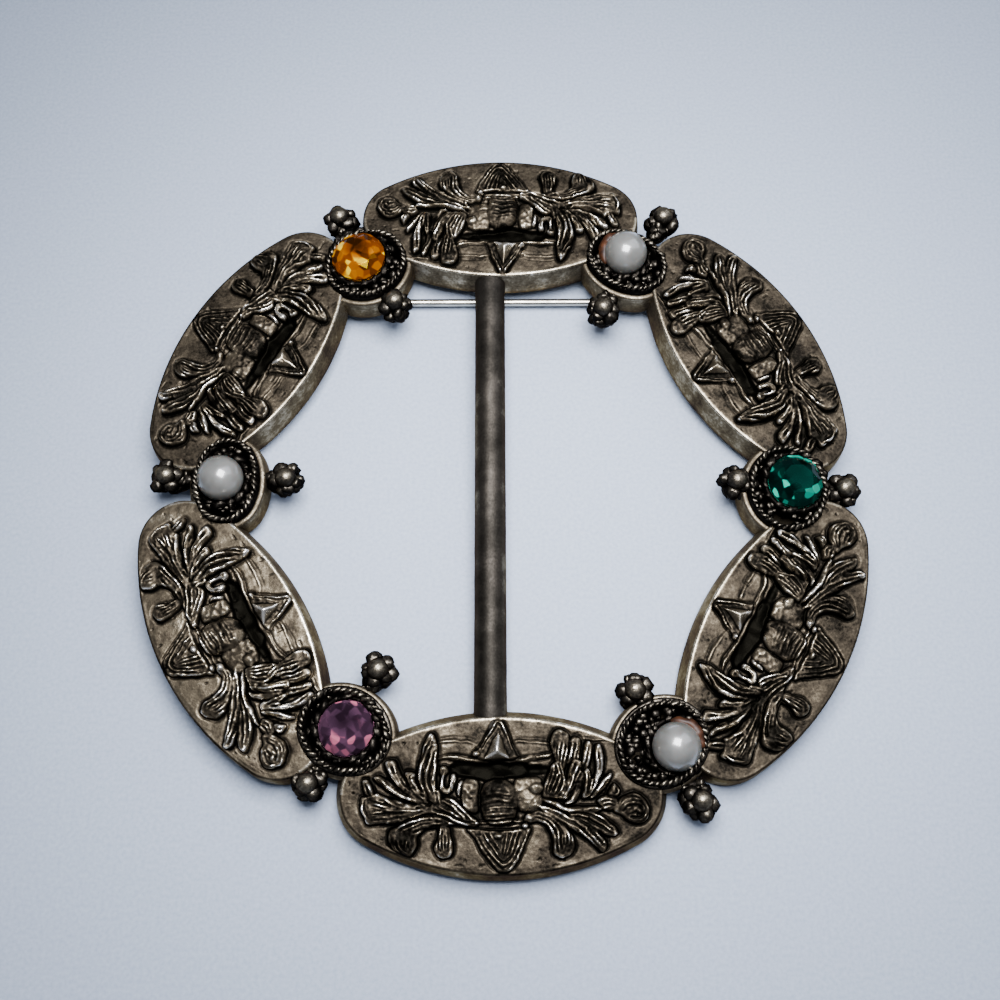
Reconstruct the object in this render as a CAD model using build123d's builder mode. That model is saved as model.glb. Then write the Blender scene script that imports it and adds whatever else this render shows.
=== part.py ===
from build123d import *

import os
from collections import namedtuple
from math import asin, atan, atan2, cos, degrees, radians, sin

# Thistle brooch: a cast ring of six oval plaques with raised thistle and leaf relief, joined by six
# rope-edged stone cups, each with a bead cluster on its inner and its outer side. One bar crosses the
# middle, and a steel pin runs across the back near the top. All lengths are in millimetres.

# The ring of plaques
plaque_count = 6
plaque_ring_radius = 28.2
plaque_length_share = 0.5035
plaque_half_width = 6.85
plaque_end_radius = 4.4
plaque_thickness = 3.1
plaque_draft = 4.5
plaque_edge = 0.3

# The relief on each plaque
leaf_height = 0.85
leaf_draft = 18.0
leaf_shoulder = 0.7
bulb_height = 1.0
bulb_radius = 2.4
cheek_radius = 1.15
cheek_height = 0.65
hollow_depth = 0.5
relief_root = 0.3

# The stone cups
cup_inset = 1.65
cup_half_length = 4.2
cup_half_width = 3.75
cup_end_radius = 3.4
cup_rim_wall = 0.75
cup_rim_height = 0.85
cup_rim_round = 0.3
cup_floor = 1.3
base_disc_radius = 4.55
base_disc_step = 0.25

# The lobed collar that holds each stone
collar_wall = 0.3
collar_lobe_radius = 0.5
collar_lobes = 11
pearl_collar_drop = 0.35
stone_gap = 0.06

# The stones
pearl_diameter = 4.3
pearl_level = 3.35
amber_diameter = 5.3
purple_diameter = 4.8
green_diameter = 5.1
stone_sides = 8
crown_share = 0.17
table_share = 0.56
pavilion_share = 0.38
star_spread = 1.7
half_spread = 0.75
culet_radius = 0.3
girdle_height = 0.2
girdle_level = 3.3

# The bead clusters
cluster_reach = 5.55
bead_diameter = 1.9
bead_level = 3.25
small_bead_drop = 0.35
bead_overlap = 0.86
pad_radius = 1.35
pad_width = 2.1
pad_bottom = 0.9
pad_top = 2.75

# The bar across the middle
bar_diameter = 3.0
bar_shift = -1.05
bar_root = 1.2

# The pin, its hinge and its catch
pin_row_share = 0.741
pin_end_share = 0.745
pin_diameter = 0.75
pin_depth = 1.15
pin_point_length = 4.0
pin_point_share = 0.25
pin_overhang = 1.0
eye_radius = 0.9
eye_thickness = 0.9
rivet_radius = 0.4
rivet_running_gap = 0.05
rivet_seat_gap = 0.03
rivet_head_radius = 0.62
rivet_head_height = 0.25
ear_thickness = 0.7
ear_radius = 0.95
ear_side_gap = 0.08
catch_length = 2.6
catch_wall = 0.6
catch_gap = 0.14
finding_root = 0.4

# Places that follow the ring's size, so that the plaques still meet under the cups in a larger ring
# and the pin stays behind the two upper plaques
plaque_half_length = plaque_ring_radius * plaque_length_share
cup_ring_radius = plaque_ring_radius - cup_inset
pin_row = plaque_ring_radius * pin_row_share
hinge_place = plaque_ring_radius * pin_end_share
catch_place = hinge_place

# Each leaf runs from its root past its middle to its tip. Along is a share of the plaque's half length,
# anticlockwise, out and half_width are shares of its half width, and height is one of the leaf height.
Leaf = namedtuple("Leaf", "root_along root_out mid_along mid_out tip_along tip_out half_width height")
LEAVES = [
    Leaf(-0.32, 0.28, -0.34, 0.47, -0.34, 0.74, 0.119, 1.0),
    Leaf(-0.31, 0.23, -0.47, 0.30, -0.58, 0.70, 0.140, 0.9),
    Leaf(-0.31, 0.19, -0.53, 0.15, -0.81, 0.19, 0.130, 1.0),
    Leaf(-0.47, 0.10, -0.61, -0.06, -0.75, -0.25, 0.081, 0.85),
    Leaf(-0.44, 0.12, -0.57, -0.15, -0.67, -0.43, 0.086, 0.9),
    Leaf(-0.40, 0.12, -0.48, -0.29, -0.40, -0.76, 0.106, 1.0),
    Leaf(-0.30, 0.10, -0.35, -0.06, -0.33, -0.29, 0.070, 0.8),
    Leaf(0.16, 0.23, 0.30, 0.31, 0.36, 0.74, 0.134, 1.0),
    Leaf(0.31, 0.13, 0.48, 0.28, 0.63, 0.63, 0.111, 0.9),
    Leaf(0.40, 0.14, 0.56, 0.25, 0.71, 0.42, 0.081, 0.85),
    Leaf(0.50, 0.07, 0.70, 0.12, 0.87, 0.25, 0.125, 1.0),
    Leaf(0.40, 0.04, 0.56, -0.22, 0.56, -0.63, 0.105, 1.0),
    Leaf(0.31, -0.03, 0.41, -0.40, 0.36, -0.76, 0.096, 0.95),
    Leaf(0.24, 0.04, 0.36, -0.18, 0.47, -0.43, 0.090, 0.85),
]

# The three-sided points at a plaque's middle, the inner two first: the corners of each one's base, in
# anticlockwise order and the same shares as the leaves, its height and the angle of its sides.
Point = namedtuple("Point", "base_along base_out next_along next_out tip_along tip_out height draft")
POINTS = [
    Point(-0.150, -0.53, 0.100, -0.57, -0.020, -0.93, 0.60, 20.0),
    Point(-0.115, -0.50, 0.070, -0.52, -0.010, -0.82, 1.05, 22.0),
    Point(0.190, 0.29, -0.200, 0.34, 0.012, 0.90, 0.70, 20.0),
    Point(0.130, 0.32, -0.140, 0.36, 0.010, 0.76, 1.10, 26.0),
]

# The stepped bands beside the inner point
Band = namedtuple("Band", "from_along to_along out half_width height")
BANDS = [
    Band(-0.360, 0.325, -0.590, 0.105, 0.45),
    Band(-0.345, 0.310, -0.565, 0.050, 0.80),
]

# The low domes between the two points: the thistle's bulb and the two smooth lumps beside it
Dome = namedtuple("Dome", "along out radius height")
DOMES = [
    Dome(-0.02, 0.03, bulb_radius, bulb_height),
    Dome(-0.172, -0.08, cheek_radius, cheek_height),
    Dome(0.152, -0.10, cheek_radius, cheek_height),
]

# The dark hollow between the bands and the bulb
Hollow = namedtuple("Hollow", "from_along to_along out half_width")
HOLLOW = Hollow(-0.33, 0.32, -0.38, 0.10)

# The settings. Angle is in degrees round the ring. Cup and bead shifts place the cup and its two bead
# clusters, and seat shifts place the stone in its cup, all as shares of the cup's half length: out is
# away from the ring's centre, round is anticlockwise.
Setting = namedtuple(
    "Setting", "node angle diameter cup_out cup_round seat_out seat_round bead_out bead_round"
)
CUT_STONES = [
    Setting("green_stone", 0, green_diameter, 0.03, -0.14, 0.19, 0.15, 0.00, -0.04),
    Setting("amber_stone", 120, amber_diameter, 0.08, 0.04, 0.165, 0.065, 0.12, -0.04),
    Setting("purple_stone", 240, purple_diameter, -0.04, -0.165, -0.06, 0.015, -0.12, -0.24),
]
PEARLS = [
    Setting("pearl_upper_right", 60, pearl_diameter, -0.05, 0.16, 0.17, 0.12, 0.03, 0.01),
    Setting("pearl_left", 180, pearl_diameter, -0.20, -0.08, 0.13, -0.055, 0.00, -0.17),
    Setting("pearl_lower_right", 300, pearl_diameter, 0.21, 0.05, 0.21, 0.21, 0.28, 0.13),
]

# The small beads round each cluster's main bead: where each sits round it, in degrees from the way
# the cluster points, and its size as a share of the main bead's
SmallBead = namedtuple("SmallBead", "turn size")
SMALL_BEADS = [
    SmallBead(85, 0.71),
    SmallBead(-85, 0.63),
    SmallBead(-20, 0.53),
    SmallBead(150, 0.63),
    SmallBead(-150, 0.50),
]

# The brooch lies on its back. The hinge and the catch stand out of the back near the top, so it leans
# on them and on the outer edge of the bottom plaque, and the back is a plane tipped by that lean.
ear_depth = pin_depth + ear_radius
finding_half_width = eye_thickness / 2 + ear_side_gap + ear_thickness
ring_edge = plaque_ring_radius + plaque_half_width
lean = atan(ear_depth / (pin_row - finding_half_width + ring_edge))
back = Plane(origin=(0, 0, ring_edge * sin(lean)), x_dir=(1, 0, 0), z_dir=(0, -sin(lean), cos(lean)))


def on_back(x, y, z=0.0):
    """A point given in the back's own frame."""
    return back.from_local_coords(Vector(x, y, z))


def ring_plane(angle, radius, round_shift=0.0, level=0.0):
    """A plane over a point of the ring, with x running anticlockwise round it and y to its centre."""
    turn = radians(angle)
    x = radius * cos(turn) - round_shift * sin(turn)
    y = radius * sin(turn) + round_shift * cos(turn)
    along = on_back(-sin(turn), cos(turn)) - back.origin
    return Plane(origin=on_back(x, y, level), x_dir=along, z_dir=back.z_dir)


def cup_plane(setting, level=0.0):
    """The plane of a setting's cup."""
    radius = cup_ring_radius + setting.cup_out * cup_half_length
    return ring_plane(setting.angle, radius, setting.cup_round * cup_half_length, level)


def seat_plane(setting, level=0.0):
    """The plane of a setting's stone, beside its cup's middle by the seat shifts."""
    radius = cup_ring_radius + (setting.cup_out + setting.seat_out) * cup_half_length
    round_shift = (setting.cup_round + setting.seat_round) * cup_half_length
    return ring_plane(setting.angle, radius, round_shift, level)


def plaque_point(along, out):
    """A point on a plaque from its shares, in the plaque's own frame."""
    return Vector(along * plaque_half_length, -out * plaque_half_width)


def oval(half_length, half_width, end_radius):
    """A four-arc oval face, its long side arcs tangent to its two end arcs."""
    squares = half_length**2 + half_width**2 - 2 * half_length * end_radius
    side_radius = squares / (2 * (half_width - end_radius))
    end_centre = half_length - end_radius
    steep = atan2(side_radius - half_width, end_centre)
    join_x = end_centre + end_radius * cos(steep)
    join_y = end_radius * sin(steep)
    with BuildSketch() as face:
        with BuildLine():
            ThreePointArc((join_x, join_y), (0, half_width), (-join_x, join_y))
            ThreePointArc((-join_x, join_y), (-half_length, 0), (-join_x, -join_y))
            ThreePointArc((-join_x, -join_y), (0, -half_width), (join_x, -join_y))
            ThreePointArc((join_x, -join_y), (half_length, 0), (join_x, join_y))
        make_face()
    return face.sketch


def leaf_face(leaf):
    """One leaf's outline, with curved sides and a round end."""
    root = plaque_point(leaf.root_along, leaf.root_out)
    middle = plaque_point(leaf.mid_along, leaf.mid_out)
    tip = plaque_point(leaf.tip_along, leaf.tip_out)
    half = leaf.half_width * plaque_half_width
    start = (middle - root).normalized()
    end = (tip - middle).normalized()
    through = (start + end).normalized()
    shoulder = tip - end * half * leaf_shoulder
    root_side = Vector(-start.Y, start.X) * half * leaf_shoulder
    middle_side = Vector(-through.Y, through.X) * half
    shoulder_side = Vector(-end.Y, end.X) * half * leaf_shoulder
    with BuildSketch() as face:
        with BuildLine():
            ThreePointArc(root - root_side, middle - middle_side, shoulder - shoulder_side)
            ThreePointArc(shoulder - shoulder_side, tip, shoulder + shoulder_side)
            ThreePointArc(shoulder + shoulder_side, middle + middle_side, root + root_side)
            Line(root + root_side, root - root_side)
        make_face()
    return face.sketch


def dome_section(radius, height, root):
    """Half the section of a low dome on a short straight root, to be turned about the y axis."""
    bulge = (radius**2 + height**2) / (2 * height)
    middle_turn = asin(radius / bulge) / 2
    middle = (bulge * sin(middle_turn), height - bulge * (1 - cos(middle_turn)))
    with BuildSketch() as section:
        with BuildLine():
            ThreePointArc((0, height), middle, (radius, 0))
            Polyline((radius, 0), (radius, -root), (0, -root), (0, height))
        make_face()
    return section.sketch


# One plaque in its own frame: x runs round the ring, y to its centre and z away from the back
with BuildPart() as plaque:
    with BuildSketch():
        add(oval(plaque_half_length, plaque_half_width, plaque_end_radius))
    extrude(amount=plaque_thickness, taper=plaque_draft)
    fillet(plaque.faces().sort_by(Axis.Z)[-1].edges(), plaque_edge)
    with BuildSketch(Plane.XY.offset(plaque_thickness - hollow_depth)):
        with Locations(plaque_point((HOLLOW.from_along + HOLLOW.to_along) / 2, HOLLOW.out)):
            SlotOverall(
                (HOLLOW.to_along - HOLLOW.from_along) * plaque_half_length,
                2 * HOLLOW.half_width * plaque_half_width,
            )
    extrude(amount=2 * hollow_depth, mode=Mode.SUBTRACT)

# The raised relief of one plaque, rooted a little below the plaque's face
relief_plane = Plane.XY.offset(plaque_thickness - relief_root)
with BuildPart() as relief:
    for leaf in LEAVES:
        with BuildSketch(relief_plane):
            add(leaf_face(leaf))
        extrude(amount=leaf_height * leaf.height + relief_root, taper=leaf_draft, clean=False)
    for point in POINTS:
        with BuildSketch(relief_plane):
            with BuildLine():
                Polyline(
                    plaque_point(point.base_along, point.base_out),
                    plaque_point(point.next_along, point.next_out),
                    plaque_point(point.tip_along, point.tip_out),
                    close=True,
                )
            make_face()
        extrude(amount=leaf_height * point.height + relief_root, taper=point.draft, clean=False)
    for band in BANDS:
        with BuildSketch(relief_plane):
            with Locations(plaque_point((band.from_along + band.to_along) / 2, band.out)):
                Rectangle(
                    (band.to_along - band.from_along) * plaque_half_length,
                    2 * band.half_width * plaque_half_width,
                )
        extrude(amount=leaf_height * band.height + relief_root, taper=leaf_draft, clean=False)
    for dome in DOMES:
        centre = plaque_point(dome.along, dome.out) + Vector(0, 0, plaque_thickness)
        with BuildSketch(Plane(origin=centre, x_dir=(1, 0, 0), z_dir=(0, -1, 0))):
            add(dome_section(dome.radius, dome.height, relief_root))
        revolve(axis=Axis(centre, (0, 0, 1)), clean=False)

# The rim of one cup in the cup's own frame
rim_bottom = plaque_thickness - base_disc_step - relief_root
rim_top = plaque_thickness + cup_rim_height
with BuildPart() as rim:
    with BuildSketch(Plane.XY.offset(rim_bottom)):
        add(oval(cup_half_length, cup_half_width, cup_end_radius))
        add(
            oval(
                cup_half_length - cup_rim_wall,
                cup_half_width - cup_rim_wall,
                cup_end_radius - cup_rim_wall,
            ),
            mode=Mode.SUBTRACT,
        )
    extrude(amount=rim_top - rim_bottom)
    fillet(rim.faces().sort_by(Axis.Z)[-1].edges(), cup_rim_round)

# The hollow inside a cup's rim
with BuildPart() as trough:
    with BuildSketch():
        add(
            oval(
                cup_half_length - cup_rim_wall / 2,
                cup_half_width - cup_rim_wall / 2,
                cup_end_radius - cup_rim_wall / 2,
            )
        )
    extrude(amount=rim_top)


def seat_hole(setting):
    """The hole that a stone drops into: a cone and a straight wall, or a ball for a pearl."""
    radius = setting.diameter / 2 + stone_gap
    with BuildPart() as hole:
        if setting in PEARLS:
            with Locations((0, 0, pearl_level)):
                Sphere(radius)
        else:
            depth = pavilion_share * setting.diameter + stone_gap
            with Locations((0, 0, girdle_level - depth / 2)):
                Cone(culet_radius + stone_gap, radius, depth)
            with BuildSketch(Plane.XY.offset(girdle_level)):
                Circle(radius)
            extrude(amount=rim_top)
    return hole.part


def collar(setting):
    """The lobed collar round a stone, in its seat's frame."""
    middle = setting.diameter / 2 + collar_wall
    bottom = cup_floor - relief_root
    top = pearl_level - pearl_collar_drop if setting in PEARLS else girdle_level + girdle_height
    with BuildPart() as ring:
        with BuildSketch(Plane.XY.offset(bottom)):
            Circle(middle)
            with PolarLocations(middle, collar_lobes):
                Circle(collar_lobe_radius)
        extrude(amount=top - bottom)
        add(seat_hole(setting), mode=Mode.SUBTRACT)
    return ring.part


# One cluster's beads in its ring frame, where y points from the cup to the cluster
main_bead = bead_diameter / 2
with BuildPart() as cluster:
    with Locations((0, cluster_reach, bead_level)):
        Sphere(main_bead)
    for bead in SMALL_BEADS:
        radius = main_bead * bead.size
        spread = (main_bead + radius) * bead_overlap
        turn = radians(90 + bead.turn)
        x = spread * cos(turn)
        y = cluster_reach + spread * sin(turn)
        with Locations((x, y, bead_level - small_bead_drop)):
            Sphere(radius)

# The planes that the frame's pieces stand on
plaque_planes = [
    ring_plane(90 + 360 / plaque_count * index, plaque_ring_radius) for index in range(plaque_count)
]
settings = CUT_STONES + PEARLS
inner_planes = [
    ring_plane(
        setting.angle,
        cup_ring_radius + setting.bead_out * cup_half_length,
        setting.bead_round * cup_half_length,
    )
    for setting in settings
]
outer_planes = [plane.rotated((0, 0, 180)) for plane in inner_planes]
bar_plane = Plane(origin=on_back(bar_shift, 0, plaque_thickness / 2), x_dir=back.x_dir, z_dir=back.y_dir)
hinge_plane = Plane(origin=on_back(hinge_place, pin_row, -pin_depth), x_dir=back.x_dir, z_dir=-back.y_dir)
catch_plane = Plane(origin=on_back(-catch_place, pin_row, -pin_depth), x_dir=back.y_dir, z_dir=back.x_dir)

# The cast frame: its plaques, base discs, pads and bar, then the cups, the beads and the relief
with BuildPart() as frame:
    with Locations(*plaque_planes):
        add(plaque.part)
    for setting in settings:
        with BuildSketch(cup_plane(setting)):
            Circle(base_disc_radius)
    extrude(amount=plaque_thickness - base_disc_step)
    pad_length = cluster_reach - base_disc_radius + pad_radius
    for plane in inner_planes + outer_planes:
        with BuildSketch(plane.offset(pad_bottom)):
            with Locations((0, cluster_reach)):
                Circle(pad_radius)
            with Locations((0, cluster_reach - pad_length / 2)):
                Rectangle(pad_width, pad_length)
    extrude(amount=pad_top - pad_bottom)
    bar_half = plaque_ring_radius - plaque_half_width
    with Locations(bar_plane):
        Cylinder(bar_diameter / 2, 2 * (bar_half + bar_root))

    # The hinge's two ears, with the hole for its rivet
    for side in (1, -1):
        with BuildSketch(hinge_plane.offset(side * (eye_thickness / 2 + ear_side_gap))):
            Circle(ear_radius)
            with Locations((0, (pin_depth + finding_root) / 2)):
                Rectangle(2 * ear_radius, pin_depth + finding_root)
            Circle(rivet_radius + rivet_seat_gap, mode=Mode.SUBTRACT)
        extrude(amount=side * ear_thickness)

    # The catch, a trough that the pin drops into from behind
    slot = pin_diameter + 2 * catch_gap
    with BuildSketch(catch_plane):
        with Locations((0, (pin_depth + finding_root - ear_radius) / 2)):
            Rectangle(slot + 2 * catch_wall, ear_depth + finding_root)
        Circle(slot / 2, mode=Mode.SUBTRACT)
        with Locations((0, -ear_radius / 2)):
            Rectangle(slot, ear_radius, mode=Mode.SUBTRACT)
    extrude(amount=catch_length / 2, both=True)

    # The cups, hollowed and then given their rims and collars
    with Locations(*[cup_plane(setting, cup_floor) for setting in settings]):
        add(trough.part, mode=Mode.SUBTRACT, clean=False)
    with Locations(*[cup_plane(setting) for setting in settings]):
        add(rim.part, clean=False)
    for setting in settings:
        with Locations(seat_plane(setting)):
            add(seat_hole(setting), mode=Mode.SUBTRACT, clean=False)
            add(collar(setting), clean=False)

    # The bead clusters and the relief
    with Locations(*(inner_planes + outer_planes)):
        add(cluster.part, clean=False)
    with Locations(*plaque_planes):
        add(relief.part, clean=False)

frame.part.label = "frame"
export_step(frame.part, "parts/frame.step")

# The rivet that the pin turns on, with a head outside each ear
rivet_half = finding_half_width + rivet_seat_gap
with BuildPart() as rivet:
    with Locations(hinge_plane):
        Cylinder(rivet_radius, 2 * rivet_half)
    for side in (1, -1):
        with BuildSketch(hinge_plane.offset(side * rivet_half)):
            Circle(rivet_head_radius)
        extrude(amount=side * rivet_head_height)

rivet.part.label = "hinge_rivet"
export_step(rivet.part, "parts/hinge_rivet.step")

# The pin: an eye on the rivet and a round stem that tapers to its point past the catch
stem_length = hinge_place + catch_place + catch_length / 2 + pin_overhang
pin_radius = pin_diameter / 2
stem_plane = Plane(origin=hinge_plane.origin, x_dir=-back.x_dir, z_dir=back.z_dir)
with BuildPart() as pin_stem:
    with BuildSketch(stem_plane):
        with BuildLine():
            Polyline(
                (eye_radius / 2, 0),
                (eye_radius / 2, pin_radius),
                (stem_length - pin_point_length, pin_radius),
                (stem_length, pin_radius * pin_point_share),
                (stem_length, 0),
                close=True,
            )
        make_face()
    revolve(axis=Axis(stem_plane.origin, stem_plane.x_dir))
    with Locations(hinge_plane):
        Cylinder(eye_radius, eye_thickness)
        Cylinder(rivet_radius + rivet_running_gap, 2 * eye_thickness, mode=Mode.SUBTRACT)

pin_stem.part.label = "pin_stem"
export_step(pin_stem.part, "parts/pin_stem.step")

# The cut stones: a sixteen-sided girdle, cut to a pavilion below it and by three rows of facets above
for setting in CUT_STONES:
    radius = setting.diameter / 2
    depth = pavilion_share * setting.diameter
    crown = crown_share * setting.diameter
    table = table_share * radius
    seat = seat_plane(setting, girdle_level)
    top = girdle_height + crown
    spread = (radius - table) / crown
    half_turn = 180 / stone_sides
    facet_rows = [
        (stone_sides, 0, table, spread),
        (stone_sides, half_turn, table * cos(radians(half_turn)), spread * star_spread),
        (2 * stone_sides, half_turn / 2, radius - crown * spread * half_spread, spread * half_spread),
    ]
    with BuildPart() as stone:
        with BuildSketch(seat.offset(-depth)):
            RegularPolygon(radius, 2 * stone_sides, rotation=half_turn / 2)
        extrude(amount=depth + top)
        with BuildSketch(seat.offset(-depth)):
            RegularPolygon(culet_radius, stone_sides, rotation=half_turn / 2)
        with BuildSketch(seat.offset(top)):
            RegularPolygon(
                radius + (radius - culet_radius) * top / depth, stone_sides, rotation=half_turn / 2
            )
        loft(ruled=True, mode=Mode.INTERSECT)
        for sides, turn, top_apothem, widening in facet_rows:
            with BuildSketch(seat.offset(-depth)):
                RegularPolygon(
                    top_apothem + (depth + top) * widening, sides, major_radius=False, rotation=turn
                )
            with BuildSketch(seat.offset(top)):
                RegularPolygon(top_apothem, sides, major_radius=False, rotation=turn)
            loft(ruled=True, mode=Mode.INTERSECT)
    stone.part.label = setting.node
    export_step(stone.part, f"parts/{setting.node}.step")

# The pearls
for setting in PEARLS:
    with BuildPart(seat_plane(setting, pearl_level)) as pearl:
        Sphere(pearl_diameter / 2)
    pearl.part.label = setting.node
    export_step(pearl.part, f"parts/{setting.node}.step")

print(f"lean {degrees(lean):.4f} degrees, back lifted {back.origin.Z:.4f} mm")
print("pin axis at", hinge_plane.origin, "along", hinge_plane.z_dir)
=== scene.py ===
from math import atan, atan2, cos, pi, radians, sin

import bmesh
import bpy
import numpy as np
from mathutils import Matrix, Vector


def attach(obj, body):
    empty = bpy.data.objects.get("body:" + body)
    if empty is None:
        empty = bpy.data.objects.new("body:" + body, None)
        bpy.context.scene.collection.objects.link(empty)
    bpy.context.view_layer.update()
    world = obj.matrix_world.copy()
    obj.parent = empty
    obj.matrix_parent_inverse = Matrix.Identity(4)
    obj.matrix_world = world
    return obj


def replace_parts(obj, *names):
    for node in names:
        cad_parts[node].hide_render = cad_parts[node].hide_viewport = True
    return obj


# Thistle brooch: the looks of a cast ring of six plaques, six rope-edged stone cups and a cross bar.
# Sizes are in millimetres, and those that the CAD source has too are the same here; place() turns them
# to metres.

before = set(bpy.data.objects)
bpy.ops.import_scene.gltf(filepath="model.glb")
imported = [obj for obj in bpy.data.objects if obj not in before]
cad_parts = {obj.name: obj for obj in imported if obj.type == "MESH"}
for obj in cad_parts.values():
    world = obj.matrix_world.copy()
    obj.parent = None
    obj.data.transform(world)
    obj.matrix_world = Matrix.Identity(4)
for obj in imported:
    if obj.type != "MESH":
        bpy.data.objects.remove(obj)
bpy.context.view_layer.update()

# The ring of plaques
RING_RADIUS = 28.2
HALF_LENGTH = 14.1987
HALF_WIDTH = 6.85
END_RADIUS = 4.4
THICKNESS = 3.1
DRAFT_INSET = 0.244
EDGE_ROUND = 0.3

# The cups
CUP_RING_RADIUS = 26.55
CUP_LENGTH = 4.2
CUP_END_RADIUS = 3.4
CUP_FLOOR = 1.3
DISC_TOP = 2.85
GIRDLE_LEVEL = 3.3
PAVILION_SHARE = 0.38
PEARL_DIAMETER = 4.3
PEARL_LEVEL = 3.35

# The clusters and the bar
CLUSTER_REACH = 5.55
BEAD_DIAMETER = 2.0
BEAD_LEVEL = 3.25
BAR_RADIUS = 1.5
BAR_SHIFT = -1.05
BAR_FLARE = 0.05

# The pin, its hinge and its catch
PIN_ROW = 20.8962
PIN_PLACE = 21.009
PIN_DEPTH = 1.15
PIN_RADIUS = 0.375
EAR_RADIUS = 0.95
EYE_RADIUS = 0.9
EYE_THICKNESS = 0.9
EAR_GAP = 0.08
EAR_THICKNESS = 0.7

# The lean of the back on its hinge and catch
ring_edge = RING_RADIUS + HALF_WIDTH
LEAN = atan((PIN_DEPTH + EAR_RADIUS) / (PIN_ROW - EYE_THICKNESS / 2 - EAR_GAP - EAR_THICKNESS + ring_edge))
LIFT = ring_edge * sin(LEAN)

# The settings: name, angle round the ring, stone diameter, then the cup's and the stone's shifts out
# from the ring's centre and anticlockwise round it, as shares of the cup's half length. They are the CAD
# source's, but the amber stone's cup sits 0.3 mm further in here.
SETTINGS = [
    ("green_stone", 0, 5.1, 0.03, -0.14, 0.19, 0.15),
    ("pearl_upper_right", 60, 4.3, -0.05, 0.16, 0.17, 0.12),
    ("amber_stone", 120, 5.3, 0.00, 0.04, 0.245, 0.065),
    ("pearl_left", 180, 4.3, -0.20, -0.08, 0.13, -0.055),
    ("purple_stone", 240, 4.8, -0.04, -0.165, -0.06, 0.015),
    ("pearl_lower_right", 300, 4.3, 0.21, 0.05, 0.21, 0.21),
]

# How wide each cup's ring is across, from the ring's inside out, as half widths in the same order
RING_WIDTHS = [3.75, 3.25, 3.75, 3.10, 3.62, 3.65]

# How far each setting's inner and then its outer cluster sits off its even place, out and round, in
# the same order
CLUSTER_SHIFTS = [
    (1.05, 0.25, -0.06, -0.59),
    (-0.29, 0.29, 0.51, -0.19),
    (0.57, -0.31, 0.51, -0.04),
    (-0.81, -0.58, -0.70, -0.88),
    (-0.57, -0.94, -0.42, -1.09),
    (1.36, 0.60, 1.07, 0.53),
]

# How far each plaque was soldered off its even place, out and round, anticlockwise from the top one
PLAQUE_SHIFTS = [(0.0, 0.0), (0.0, 0.0), (0.0, 0.0), (-0.30, -0.10), (0.35, 0.0), (-0.60, 0.0)]

# How far each plaque's foot spreads past its face, beyond the even draft
PLAQUE_FEET = [0.08, 0.08, 0.08, 0.36, 0.10, 0.08]

# How much more or less each plaque has been rubbed than the others, in the same order
PLAQUE_POLISH = [0.0, 0.0, 0.11, 0.0, -0.02, -0.05]

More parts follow.
